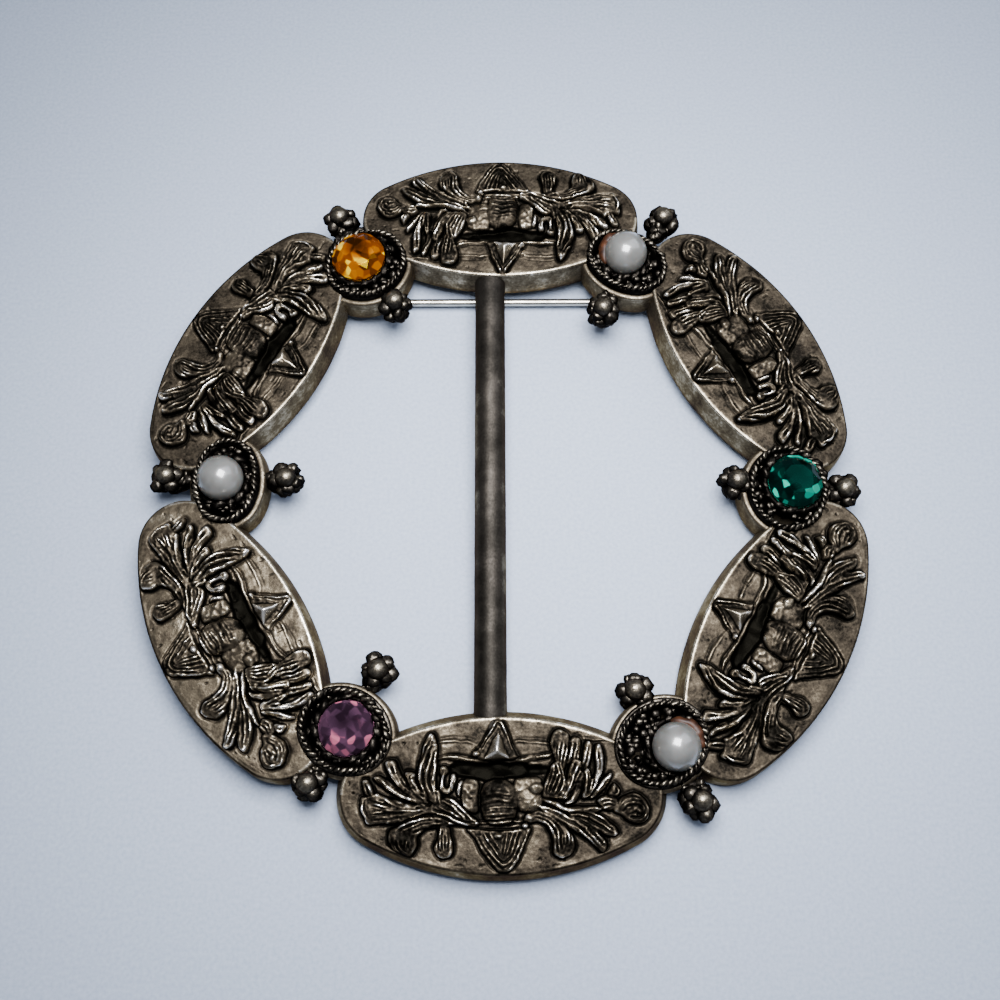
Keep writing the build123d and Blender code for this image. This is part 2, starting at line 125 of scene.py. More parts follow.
# The relief's raised shapes. Each is a smooth closed outline of points, along and out as thousandths of
# the plaque's half length and half width, its height in millimetres and how much more its middle rises.
# In order: the leaves left of the thistle, those right of it, those below them on the right, the outer
# point, the inner point and the low steps beside it, which are no higher than LOW_STEP and count as
# ground.
LOW_STEP = 0.2
LEAVES = [
    ("-375 360 -380 500 -403 640 -380 735 -343 768 -302 735 -284 630 -298 500 -312 360", 0.50, 0.10),
    ("-290 340 -335 262 -420 238 -500 270 -590 325 -665 410 -675 520 -645 640 -585 775 -530"
     " 730 -500 610 -500 500 -455 415 -395 400 -335 385", 0.52, 0.12),
    ("-380 150 -490 110 -600 85 -700 25 -745 -30 -795 10 -848 30 -852 150 -836 270 -803 375"
     " -700 357 -600 335 -500 270 -400 225", 0.55, 0.12),
    ("-755 50 -805 25 -836 -70 -842 -170 -805 -190 -772 -100", 0.45, 0.05),
    ("-440 150 -550 90 -630 35 -700 -55 -770 -190 -740 -230 -680 -165 -600 -50 -490 40", 0.58, 0.05),
    ("-430 130 -540 50 -620 -70 -672 -200 -715 -350 -690 -405 -640 -390 -598 -220 -545 -100"
     " -470 10", 0.62, 0.05),
    ("-420 120 -490 50 -550 -70 -588 -220 -570 -285 -530 -260 -505 -100 -450 30", 0.60, 0.05),
    ("-390 130 -455 40 -500 -110 -517 -300 -503 -450 -472 -610 -425 -745 -392 -680 -388"
     " -500 -398 -300 -398 -120 -380 20", 0.66, 0.12),
    ("-388 -270 -375 -335 -340 -335 -322 -265 -345 -200 -345 -105 -326 -85 -312 -140 -312"
     " -225 -280 -245 -268 -180 -284 -60 -310 -8 -350 5 -378 -50 -370 -190", 0.62, 0.05),
    ("-402 -40 -375 -55 -348 60 -343 145 -370 155 -397 80", 0.62, 0.05),
    ("-268 -20 -262 -120 -246 -172 -222 -155 -233 -40 -250 25", 0.62, 0.05),
    ("-420 100 -330 20 -270 80 -200 220 -140 300 -150 380 -250 372 -320 345 -420 240", 0.52, 0.10),
    ("245 40 255 -150 288 -300 335 -405 372 -365 392 -200 412 -100 390 40", 0.62, 0.10),
    ("335 40 378 -120 408 -280 440 -430 484 -405 486 -280 455 -120 402 40", 0.72, 0.10),
    ("380 105 408 20 440 -100 472 -275 502 -280 504 -120 472 20 432 105", 0.58, 0.14),
    ("486 40 488 -120 497 -300 530 -315 545 -190 566 -300 566 -450 568 -575 610 -605 628"
     " -480 624 -330 594 -180 555 -20 532 55", 0.70, 0.08),
    ("525 60 568 -70 618 -190 662 -270 670 -200 642 -100 592 5 552 70", 0.60, 0.06),
    ("640 10 665 -90 690 -130 716 -40 692 30", 0.60, 0.10),
    ("575 100 600 30 640 5 690 30 700 110 670 180 620 190", 0.50, 0.12),
    ("335 -270 318 -420 298 -580 298 -690 330 -780 372 -798 412 -745 424 -620 412 -480 392 -300", 0.50, 0.10),
    ("398 -350 418 -500 416 -650 450 -708 488 -665 484 -500 462 -380", 0.46, 0.08),
    ("470 -320 490 -480 510 -610 545 -640 565 -560 542 -440 522 -300", 0.44, 0.06),
    ("668 120 722 35 785 -18 845 25 884 140 874 275 820 355 758 325 716 245 668 205", 0.50, 0.10),
    ("125 300 195 190 285 205 365 325 424 480 436 620 396 725 345 760 306 690 298 550 276"
     " 420 220 335 165 350", 0.52, 0.12),
    ("215 110 320 165 430 262 530 372 600 480 636 600 600 690 548 590 498 505 436 440 350"
     " 350 250 230", 0.50, 0.08),
    ("395 170 520 190 605 250 655 335 705 460 660 510 578 455 495 355 415 265", 0.50, 0.08),
    ("225 45 300 55 400 125 520 140 610 165 565 225 450 225 330 165", 0.62, 0.05),
    ("-205 400 -165 520 -105 700 -45 868 8 935 55 880 105 720 145 550 172 392 50 410 -80 410", 0.30, 0.00),
    ("-172 -455 -130 -570 -85 -735 -42 -895 -15 -940 14 -885 44 -720 88 -525 98 -452 -30 -420", 0.24, 0.00),
    ("-412 -415 -320 -438 -200 -455 -130 -455 -125 -600 -200 -665 -380 -668 -405 -550", 0.16, 0.00),
    ("65 -438 200 -430 325 -430 335 -620 200 -655 70 -655", 0.16, 0.00),
]

# The fine ridges on those shapes: a half width and a height over the shape, in millimetres, and then a
# smooth line of points in the same thousandths. In the same order, then the thistle's bands and crest.
LINES = """
0.10 0.26 -352 360 -360 520 -366 665
0.10 0.28 -341 350 -341 520 -342 670
0.10 0.26 -330 360 -322 520 -318 650
0.15 0.34 -328 350 -358 288 -420 270 -500 300 -575 342 -625 400
0.14 0.30 -340 345 -410 342 -480 382 -545 440
0.11 0.26 -375 308 -460 322 -552 388
0.10 0.20 -612 520 -602 620 -572 700
0.10 0.20 -562 520 -568 640
0.15 0.32 -455 172 -570 188 -755 182
0.14 0.30 -470 200 -600 242 -770 300
0.14 0.30 -490 145 -620 140 -715 45
0.11 0.22 -620 162 -700 145 -790 110
0.11 0.24 -500 232 -620 292 -790 350
0.10 0.18 -830 70 -836 180 -802 330
0.09 0.20 -660 205 -800 235
0.14 0.30 -768 20 -788 -80 -815 -150
0.16 0.34 -490 105 -600 30 -672 -70 -738 -200
0.10 0.22 -550 85 -640 15 -722 -85
0.09 0.20 -520 70 -620 -20 -700 -140
0.15 0.34 -490 85 -598 -60 -650 -200 -697 -355
0.13 0.30 -515 35 -608 -130 -655 -365
0.08 0.20 -560 0 -630 -140 -680 -300
0.13 0.28 -450 85 -530 -40 -572 -225
0.11 0.24 -480 10 -535 -130 -548 -250
0.15 0.36 -435 85 -485 -60 -497 -270 -475 -450 -424 -625
0.14 0.34 -415 50 -455 -130 -447 -350 -410 -560
0.11 0.26 -425 -120 -402 -385
0.09 0.22 -472 -180 -468 -420 -432 -570
0.09 0.12 -412 -650 -418 -715
0.13 0.28 -420 195 -330 240 -250 330 -180 368
0.12 0.26 -365 45 -300 120 -240 240 -190 335
0.11 0.24 -320 30 -262 120 -205 235
0.10 0.22 -380 130 -300 200 -240 290
0.10 0.14 -352 -290 -358 -180 -360 -60
0.10 0.14 -300 -200 -300 -80
0.10 0.14 -380 0 -365 110
0.10 0.14 -246 -140 -250 -30
0.09 0.24 266 -15 292 -150 322 -345
0.09 0.24 285 -10 318 -150 345 -290
0.09 0.26 305 0 340 -130 362 -215
0.10 0.28 328 10 365 -100 388 -230
0.11 0.26 332 -370 346 -285 358 -210
0.14 0.34 345 20 382 -80 420 -205 447 -385
0.15 0.38 368 20 412 -100 442 -250 468 -375
0.11 0.30 392 10 440 -120 474 -300
0.26 0.18 408 75 448 -50 486 -250
0.11 0.32 504 25 509 -120 515 -285
0.10 0.28 524 5 544 -150 552 -240
0.15 0.36 530 35 576 -150 602 -350 606 -555
0.11 0.28 556 -90 582 -300 582 -520
0.17 0.26 548 30 600 -110 652 -225
0.11 0.24 560 65 612 -10 635 -80
0.13 0.20 668 -20 690 -95
0.12 0.32 358 -320 374 -480 386 -640
0.08 0.18 345 -420 350 -600
0.11 0.26 408 -385 434 -520 442 -640
0.10 0.26 438 -400 460 -510 470 -645
0.11 0.26 488 -340 510 -480 532 -600
0.09 0.20 512 -330 535 -460
0.09 0.16 495 -665 560 -655 620 -668 672 -660
0.09 0.20 588 85 632 50 684 72
0.09 0.20 596 130 640 98 690 118
0.09 0.18 610 165 655 150
0.13 0.20 708 175 760 100 822 102 862 185
0.12 0.16 720 120 782 40 842 82
0.12 0.20 868 190 840 272 800 300 745 268
0.15 0.24 738 205 800 172 832 222
0.08 0.16 700 150 745 60 800 20
0.15 0.34 245 70 320 118 392 172 505 190
0.12 0.28 238 120 330 180 425 272 505 382 575 500
0.11 0.26 222 160 300 228 392 332 465 440
0.12 0.28 178 245 268 280 328 400 336 600 346 690
0.12 0.28 205 200 300 268 368 420 376 620
0.10 0.24 220 292 280 362 314 500 320 640
0.10 0.24 335 300 388 420 400 600
0.11 0.26 430 305 520 432 582 560 602 640
0.10 0.24 398 305 470 420 542 545 588 640
0.09 0.20 455 300 545 405 610 520 625 600
0.11 0.26 435 215 545 292 622 382 670 455
0.10 0.22 460 270 552 368 628 462
0.10 0.24 500 215 582 255 645 345
0.08 0.14 520 160 600 178
0.13 0.26 -192 415 -135 600 -55 840 8 912 60 825 122 600 158 405
0.09 0.18 -152 430 -92 620 -25 795 12 825 52 760 92 600 125 420
0.09 0.20 36 420 20 580 6 740
0.09 0.20 66 420 46 580 20 735
0.09 0.20 94 430 72 580 36 740
0.09 0.16 -112 440 -62 600 -12 740
0.08 0.12 -75 430 -38 560 -4 660
0.10 0.30 -205 378 -30 388 155 370
0.10 0.30 -195 335 -30 338 150 318
0.12 0.26 -152 -500 -105 -660 -62 -790 -18 -915 20 -790 52 -660 80 -500
0.15 0.30 -165 -480 -140 -490
0.16 0.26 -400 -415 -320 -445 -220 -432 -120 -412
0.16 0.26 70 -410 170 -425 262 -452 330 -520
0.14 0.10 -400 -650 -260 -668 -150 -640
0.14 0.10 80 -640 200 -655 320 -620
0.10 0.10 -105 20 -15 -20 72 15
0.12 0.14 -112 98 -25 70 52 88
0.10 0.12 -92 170 -15 148 85 170
0.11 0.12 -130 256 -15 238 62 244
"""

# Smooth lumps: middle along and out, half size along and out as shares, height, how square they are.
# They are the two panels beside the thistle, its bulb, and the small knobs.
BULB_SQUARENESS = 2.4
LUMPS = [
    (-0.183, 0.02, 0.056, 0.205, 0.46, 4),
    (0.155, 0.0, 0.092, 0.22, 0.36, 4),
    (0.205, -0.075, 0.05, 0.075, 0.6, 2),
    (-0.015, 0.09, 0.112, 0.285, 0.66, BULB_SQUARENESS),
    (0.165, 0.275, 0.03, 0.05, 0.72, 2),
    (0.14, 0.37, 0.022, 0.035, 0.58, 2),
    (-0.02, 0.48, 0.026, 0.04, 0.62, 2),
    (-0.148, -0.495, 0.022, 0.04, 0.55, 2),
]

# The three-sided pyramid of the inner point: its corners, how high its foot and then its blunt top stand,
# and its steepness
PYRAMID = [(-0.108, -0.440), (0.056, -0.440), (-0.022, -0.775)]
PYRAMID_FOOT = 0.3
PYRAMID_TOP = 0.9
PYRAMID_STEEPNESS = 1.35

# The dark hollow behind it: its middle and its half size as shares of the plaque's, and its depth
HOLLOW_MIDDLE = (-0.055, -0.285)
HOLLOW_HALF = (0.310, 0.130)
HOLLOW_DEPTH = 0.50

# The relief's surroundings: how deep the metal is cut away beside the strokes, and how far out
MOAT_DEPTH = 0.13
MOAT_REACH = 0.34

# How rubbed the plaques are: everywhere, then how much more on the ground, on the smooth shapes, where that is
# rubbed metal and also a painted highlight, where the metal stands out sharply (less so on the ground) and
# where it stands out broadly, and how much less close beside the strokes, where that is patina and also painted
# shade, and in the hollow
RUB_ALL = 0.285
RUB_GROUND = 0.135
# On the smooth shapes: rubbed metal and a painted highlight
RUB_SMOOTH_AND_HIGHLIGHT = 0.20
RUB_SHARP = 3.9
RUB_SHARP_GROUND = 2.2
RUB_BROAD = 0.36
# Close beside the strokes: black patina, and painted shade
RUB_MOAT_PATINA_AND_SHADE = 0.07
RUB_HOLLOW = 0.60

# How light a plaque's edge is on the side of the ring's centre and on the other, the brighter first being a
# painted highlight. Then how rubbed its wall, its foot (which is darker) and its back are, and the painted
# highlight on the strip of face beside the edge, on the same two sides
EDGE_HIGHLIGHT_RUBS = (0.74, 0.44)
WALL_RUB = 0.59
FOOT_RUB = 0.50
BACK_RUB = 0.52
STRIP_HIGHLIGHT_RUBS = (0.32, 0.05)

# Round parts have this many sides, or every second, third, fourth or sixth of them
SIDES = 96
turns = np.linspace(0, 2 * pi, SIDES, endpoint=False)


def place(points):
    """Points in the back's frame, in millimetres, as metres in the CAD's frame."""
    x, y, z = np.moveaxis(np.asarray(points, float), -1, 0)
    up = y * sin(LEAN) + z * cos(LEAN) + LIFT
    return np.stack((x, y * cos(LEAN) - z * sin(LEAN), up), -1) * 0.001


def on_ring(points, angle, radius, round_shift):
    """Points over the ring (x anticlockwise round it, y to its centre, z up) in the back's frame."""
    turn = radians(angle)
    points = np.asarray(points, float)
    along = points[..., 0] + round_shift
    out = radius - points[..., 1]
    x = out * cos(turn) - along * sin(turn)
    y = out * sin(turn) + along * cos(turn)
    return np.stack((x, y, points[..., 2]), -1)


def from_ring(points, angle, radius, round_shift):
    """The other way round: points in the back's frame as they lie over the ring."""
    turn = radians(angle)
    x, y, z = np.moveaxis(np.asarray(points, float), -1, 0)
    along = y * cos(turn) - x * sin(turn) - round_shift
    out = x * cos(turn) + y * sin(turn)
    return np.stack((along, radius - out, z), -1)


def oval_reach(angles, half_length, half_width, end_radius):
    """How far the four-arc oval reaches from its middle at each angle."""
    spread = half_length**2 + half_width**2 - 2 * half_length * end_radius
    side_radius = spread / (2 * (half_width - end_radius))
    end = half_length - end_radius
    drop = side_radius - half_width
    steep = atan2(drop, end)
    join = atan2(end_radius * sin(steep), end + end_radius * cos(steep))
    c, s = np.abs(np.cos(angles)), np.abs(np.sin(angles))
    at_end = end * c + np.sqrt(np.maximum(end_radius**2 - (end * s) ** 2, 0))
    at_side = -drop * s + np.sqrt(np.maximum(side_radius**2 - (drop * c) ** 2, 0))
    return np.where(np.arctan2(s, c) < join, at_end, at_side)


def step(low, high, value):
    """A smooth rise from 0 at low to 1 at high."""
    share = np.clip((value - low) / (high - low), 0, 1)
    return share * share * (3 - 2 * share)


def mottle(x, y, size, seed):
    """Smooth random blotches from -1 to 1, about size across."""
    grid = np.random.default_rng(seed).uniform(-1, 1, (96, 96))
    u, v = x / size + 40.3, y / size + 40.7
    i, j = np.floor(u).astype(int), np.floor(v).astype(int)
    f, g = step(0, 1, u - i), step(0, 1, v - j)
    i, j = i % 95, j % 95
    low = grid[i, j] * (1 - f) + grid[i + 1, j] * f
    high = grid[i, j + 1] * (1 - f) + grid[i + 1, j + 1] * f
    return low * (1 - g) + high * g


def soften(field, times):
    """The field with each cell averaged with its neighbours, a number of times."""
    for _ in range(times):
        wide = np.pad(field, 1, mode="edge")
        field = (
            wide[1:-1, 1:-1] * 2 + wide[:-2, 1:-1] + wide[2:, 1:-1] + wide[1:-1, :-2] + wide[1:-1, 2:]
        ) / 6
    return field


def around(reach, level, angles=turns):
    """A ring of points at a reach and a level, each one number or one for each angle."""
    return np.stack(np.broadcast_arrays(reach * np.cos(angles), reach * np.sin(angles), level), -1)


def turned(profile, angles=turns):
    """Rings of points from a profile of reaches and levels."""
    return np.array([around(reach, level, angles) for reach, level in profile])


def neighbours(sides):
    """Each corner of a closed ring with the next one."""
    return [(side, (side + 1) % sides) for side in range(sides)]


def band(count, sides):
    """Faces of closed rings that follow each other, the last joined to the first."""
    faces = []
    for before, after in neighbours(count):
        low, high = before * sides, after * sides
        faces += [(low + a, low + b, high + b, high + a) for a, b in neighbours(sides)]
    return faces


def stack(rings):
    """Closed rings stacked on each other, the first and last closed to a middle point: points and faces."""
    count, sides = rings.shape[:2]
    points = np.vstack([rings.reshape(-1, 3), rings[0].mean(0)[None], rings[-1].mean(0)[None]])
    middle, last = count * sides, (count - 1) * sides
    faces = band(count, sides)[:last]
    for a, b in neighbours(sides):
        faces += [(middle, b, a), (middle + 1, last + a, last + b)]
    return points, faces


def stack_at(rings, spot):
    """Stacked rings set over the ring at a spot: its angle, radius and round shift."""
    points, faces = stack(rings)
    return on_ring(points, *spot), faces


def piece(name, shells, finish, body="frame", rub=None, smooth=True):
    """A finished piece from shells, each its points in the back's frame and its faces. How rubbed it is
    is one number, one for each point, or a rule that gives it from a point's level."""
    points, faces = [], []
    for shell_points, shell_faces in shells:
        faces += [tuple(len(points) + corner for corner in face) for face in shell_faces]
        points += shell_points.tolist()
    points = np.array(points)
    mesh = bpy.data.meshes.new(name)
    mesh.from_pydata(place(points).tolist(), [], faces)
    shell = bmesh.new()
    shell.from_mesh(mesh)
    bmesh.ops.recalc_face_normals(shell, faces=shell.faces)
    shell.to_mesh(mesh)
    shell.free()
    return dress(mesh, name, finish, body, rub(points[:, 2]) if callable(rub) else rub, smooth)


def dress(mesh, name, finish, body="frame", rub=None, smooth=True):
    """Gives a mesh its object, finish and body."""
    if rub is not None:
        rubs = np.full(len(mesh.vertices), rub, np.float32)
        mesh.attributes.new("rub", "FLOAT", "POINT").data.foreach_set("value", rubs)
    mesh.materials.clear()
    mesh.materials.append(finish)
    mesh.polygons.foreach_set("use_smooth", [smooth] * len(mesh.polygons))
    made = bpy.data.objects.new(name, mesh)
    bpy.context.scene.collection.objects.link(made)
    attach(made, body)
    return made


def refinish(name, finish):
    """Gives a CAD node that stays as it is its finish."""
    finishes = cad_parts[name].data.materials
    finishes.clear()
    finishes.append(finish)


def hex_colour(code):
    """An sRGB hex colour as Blender's linear numbers."""
    parts = [int(code[i : i + 2], 16) / 255 for i in (1, 3, 5)]
    return (*(c / 12.92 if c <= 0.04045 else ((c + 0.055) / 1.055) ** 2.4 for c in parts), 1.0)


def node(tree, kind, settings=(), inputs=()):
    """Adds a node with its settings and inputs. An input is a value, or the socket or node that feeds
    it; stops are a colour ramp's, each a place and a hex colour or a grey."""
    made = tree.nodes.new(kind)
    for name, value in dict(settings).items():
        if name != "stops":
            setattr(made, name, value)
            continue
        marks = made.color_ramp.elements
        while len(marks) < len(value):
            marks.new(0.5)
        for mark, (position, colour) in zip(marks, value):
            mark.position = position
            mark.color = hex_colour(colour) if isinstance(colour, str) else (colour, colour, colour, 1)
    for name, value in dict(inputs).items():
        if isinstance(value, bpy.types.Node):
            value = next(socket for socket in value.outputs if socket.enabled)
        if isinstance(value, bpy.types.NodeSocket):
            tree.links.new(value, made.inputs[name])
        else:
            made.inputs[name].default_value = value
    return made


def new_finish(name):
    """An empty material, its tree, and the object's own coordinates in it."""
    material = bpy.data.materials.new(name)
    material.use_nodes = True
    material.node_tree.nodes.clear()
    return material, material.node_tree, node(material.node_tree, "ShaderNodeTexCoord").outputs["Object"]


def shade(tree, inputs):
    """Ends a material with its shader, which has these inputs."""
    shader = node(tree, "ShaderNodeBsdfPrincipled", (), inputs)
    node(tree, "ShaderNodeOutputMaterial", (), {"Surface": shader})


def antiqued(name, colours, roughness, blotch, grit, bump, blotch_strength, grit_strength):
    """Cast metal blackened all over and rubbed back: dark where the rub attribute is low, bright where it
    is high, with cloudy blotches and casting grit of the given sizes and bumps, in millimetres."""
    material, tree, spot = new_finish(name)
    rub = node(tree, "ShaderNodeAttribute", {"attribute_name": "rub"}).outputs["Fac"]
    look = {"Vector": spot, "Scale": 1000 / blotch, "Detail": 4.0, "Roughness": 0.62}
    cloud = node(tree, "ShaderNodeTexNoise", (), look)
    look = {"Vector": spot, "Scale": 1000 / grit, "Detail": 3.0, "Roughness": 0.6}
    grains = node(tree, "ShaderNodeTexNoise", (), look)
    mixing = {"operation": "MULTIPLY_ADD"}
    blotched = node(tree, "ShaderNodeMath", mixing, {0: cloud, 1: blotch_strength, 2: rub})
    gritty = node(tree, "ShaderNodeMath", mixing, {0: grains, 1: grit_strength, 2: blotched})
    evened = {0: gritty, 1: (blotch_strength + grit_strength) / 2}
    worn = node(tree, "ShaderNodeMath", {"operation": "SUBTRACT"}, evened)
    surface = node(tree, "ShaderNodeMath", mixing, {0: cloud, 1: 0.6, 2: grains})
    dents = {"Strength": 0.55, "Distance": bump / 1000, "Height": surface}
    look = {
        "Base Color": node(tree, "ShaderNodeValToRGB", {"stops": colours}, {"Fac": worn}),
        "Roughness": node(tree, "ShaderNodeValToRGB", {"stops": roughness}, {"Fac": worn}),
        "Normal": node(tree, "ShaderNodeBump", (), dents),
        "Metallic": 0.92,
        "Specular Tint": hex_colour("#a89a84"),
    }
    shade(tree, look)
    return material


# Cast white metal, blackened and rubbed back. To the eye: brown-grey mottled flats, nearly black in the
# recesses, and thin bright lines where the ridges have been rubbed.
plaque_pewter = antiqued(
    "antiqued_cast_pewter_plaque",
    [(0.08, "#040403"), (0.28, "#13110e"), (0.46, "#3a342b")]
    + [(0.62, "#595143"), (0.80, "#9c9380"), (0.96, "#f5f0e6")],
    [(0.10, 0.50), (0.45, 0.52), (0.70, 0.32), (0.90, 0.22)],
    blotch=1.4,
    grit=0.26,
    bump=0.045,
    blotch_strength=0.50,
    grit_strength=0.40,
)

# The same metal on the cups and clusters, which hold more black. To the eye: black hollows with glints.
cup_pewter = antiqued(
    "antiqued_cast_pewter_cup",
    [(0.10, "#060505"), (0.34, "#161412"), (0.56, "#3f3b35"), (0.74, "#807868"), (0.92, "#e6dfd0")],
    [(0.10, 0.46), (0.50, 0.36), (0.85, 0.22)],
    blotch=0.8,
    grit=0.20,
    bump=0.045,
    blotch_strength=0.44,
    grit_strength=0.30,
)

# The drawn bar, worn dull by cloth. To the eye: one soft light streak along its front, toned down by painted
# shade, and darker sides.
bar_pewter = antiqued(
    "rubbed_pewter_bar",
    [(0.10, "#0c0b0a"), (0.36, "#23211e"), (0.60, "#3f3b36"), (0.88, "#8c8679")],
    [(0.10, 0.52), (0.55, 0.46), (0.90, 0.38)],
    blotch=1.6,
    grit=0.22,
    bump=0.03,
    blotch_strength=0.46,
    grit_strength=0.26,
)


def cut_glass(name, colours, cell, shade_spot):
    """Pressed and polished coloured glass over a foil. To the eye: one deep colour broken into patches as wide
    as its facets, some painted dark and a few painted as bright flashes, and painted shade round one spot."""
    material, tree, spot = new_finish(name)
    look = {"Vector": spot, "Scale": 1000 / cell, "Smoothness": 0.35}
    # Patches as wide as the facets: painted dark patches and painted bright flashes
    patches = node(tree, "ShaderNodeTexVoronoi", {"feature": "SMOOTH_F1"}, look).outputs["Color"]
    lit = node(tree, "ShaderNodeSeparateColor", (), {"Color": patches})
    # Painted shade round one spot
    from_shade_spot = node(tree, "ShaderNodeVectorMath", {"operation": "DISTANCE"}, {0: spot, 1: shade_spot})
    look = {"Value": from_shade_spot.outputs["Value"], "To Min": 0.25, "To Max": 1}
    look |= {"From Min": 0.0004, "From Max": 0.0017}
    clear = node(tree, "ShaderNodeMapRange", (), look)
    shaded = node(tree, "ShaderNodeMath", {"operation": "MULTIPLY"}, {0: lit, 1: clear})
    stops = list(zip((0.08, 0.42, 0.74, 0.95), colours))
    look = {
        "Base Color": node(tree, "ShaderNodeValToRGB", {"stops": stops}, {"Fac": shaded}),
        "Transmission Weight": 0.30,
        "Specular IOR Level": 0.30,
        "Specular Tint": hex_colour(colours[3]),
        "Roughness": 0.04,
        "IOR": 1.58,
    }
    shade(tree, look)
    return material


def clouded(name, size, detail, look, bump=None, stretch=None):
    """A finish with a cloudiness of a size in millimetres. A list in its look is the stops that the cloud
    runs through. Bump is a strength, a height and a size in millimetres, and a detail; stretch draws the
    cloud out along an axis."""
    material, tree, spot = new_finish(name)
    if stretch:
        spot = node(tree, "ShaderNodeMapping", (), {"Vector": spot, "Scale": stretch})
    cloud = node(tree, "ShaderNodeTexNoise", (), {"Vector": spot, "Scale": 1000 / size, "Detail": detail})
    for part, value in look.items():
        if isinstance(value, list):
            look[part] = node(tree, "ShaderNodeValToRGB", {"stops": value}, {"Fac": cloud})
    if bump:
        strength, height, grain, fineness = bump
        grains = {"Vector": spot, "Scale": 1000 / grain, "Detail": fineness}
        grains = node(tree, "ShaderNodeTexNoise", (), grains)
        dents = {"Strength": strength, "Distance": height / 1000, "Height": grains}
        look["Normal"] = node(tree, "ShaderNodeBump", (), dents)
    shade(tree, look)
    return material


# Nickel-plated steel wire. To the eye: a thin bright line with faint marks along its length.
look = {"Base Color": [(0.30, "#8d8a80"), (0.65, "#d4d0c4")], "Metallic": 1.0}
look |= {"Roughness": [(0.30, 0.36), (0.70, 0.20)]}
steel = clouded("drawn_nickel_plated_steel", 0.12, 3.0, look, stretch=(0.12, 1.0, 1.0))

# Pearl lacquer on a bead. To the eye: soft grey-white with a clear flash and a faint cloudiness.
look = {"Base Color": [(0.32, "#53534f"), (0.66, "#666663")], "Roughness": 0.36, "IOR": 1.53}
look |= {"Specular IOR Level": 0.85, "Coat Weight": 1.0, "Coat Roughness": 0.13, "Coat IOR": 1.75}
look |= {"Subsurface Weight": 0.10, "Subsurface Scale": 0.0006}
pearl_lacquer = clouded("pearl_lacquer", 1.4, 3.0, look, bump=(0.25, 0.01, 0.3, 2.0))

# Aged clear glue, gone amber-brown. To the eye: a warm glassy crust beside a pearl.
look = {"Base Color": [(0.35, "#220f05"), (0.65, "#4c2a14")], "Roughness": 0.50}
look |= {"Specular IOR Level": 0.30, "Transmission Weight": 0.25}
glue = clouded("aged_amber_glue", 0.8, 4.0, look)

# Matte painted board. To the eye: a plain pale blue-grey floor with a barely seen fibre.
look = {"Base Color": [(0.3, "#98a5ba"), (0.7, "#a8b4c6")], "Roughness": 0.75}
board = clouded("matte_pale_board", 0.35, 3.0, look)


def smooth_line(points, steps, closed=False):
    """A smooth line through a few points, or a closed one."""
    if closed:
        ends, count = np.vstack([points[-1:], points, points[:2]]), len(points)
    else:
        ends = np.vstack([2 * points[0] - points[1], points, 2 * points[-1] - points[-2]])
        count = len(points) - 1
    t = np.linspace(0, count, steps, endpoint=not closed)
    i = np.minimum(t.astype(int), count - 1)
    f = (t - i)[:, None]
    a, b, c, d = ends[i], ends[i + 1], ends[i + 2], ends[i + 3]
    curve = 2 * b + (c - a) * f + (2 * a - 5 * b + 4 * c - d) * f**2 + (3 * b - a - 3 * c + d) * f**3
    return curve / 2


def on_plaque(numbers):
    """Points on a plaque, in millimetres, from their thousandths of its half length and half width."""
    return np.array(numbers, float).reshape(-1, 2) / 1000 * (HALF_LENGTH, -HALF_WIDTH)


def close_to(line, x, y, reach):
    """Which grid points lie in the line's box, widened by reach."""
    low, high = line.min(0) - reach, line.max(0) + reach
    return (x > low[0]) & (x < high[0]) & (y > low[1]) & (y < high[1])


def gap_to(line, x, y, closed=False):
    """How far points are from a line, and how far along it their nearest spots are."""
    start = line if closed else line[:-1]
    way = (np.roll(line, -1, 0) if closed else line[1:]) - start
    from_x, from_y = x[:, None] - start[:, 0], y[:, None] - start[:, 1]
    share = np.clip((from_x * way[:, 0] + from_y * way[:, 1]) / (way**2).sum(1), 0, 1)
    gaps = np.hypot(from_x - share * way[:, 0], from_y - share * way[:, 1])
    nearest = gaps.argmin(1)
    rows = np.arange(len(x))
    return gaps[rows, nearest], (nearest + share[rows, nearest]) / len(start)


def within(line, x, y):
    """Which points a closed line goes round."""
    after = np.roll(line, -1, 0)
    crosses = (line[:, 1] > y[:, None]) != (after[:, 1] > y[:, None])
    slope = (after[:, 0] - line[:, 0]) / (after[:, 1] - line[:, 1] + 1e-12)
    return (crosses & (x[:, None] < line[:, 0] + (y[:, None] - line[:, 1]) * slope)).sum(1) % 2 == 1


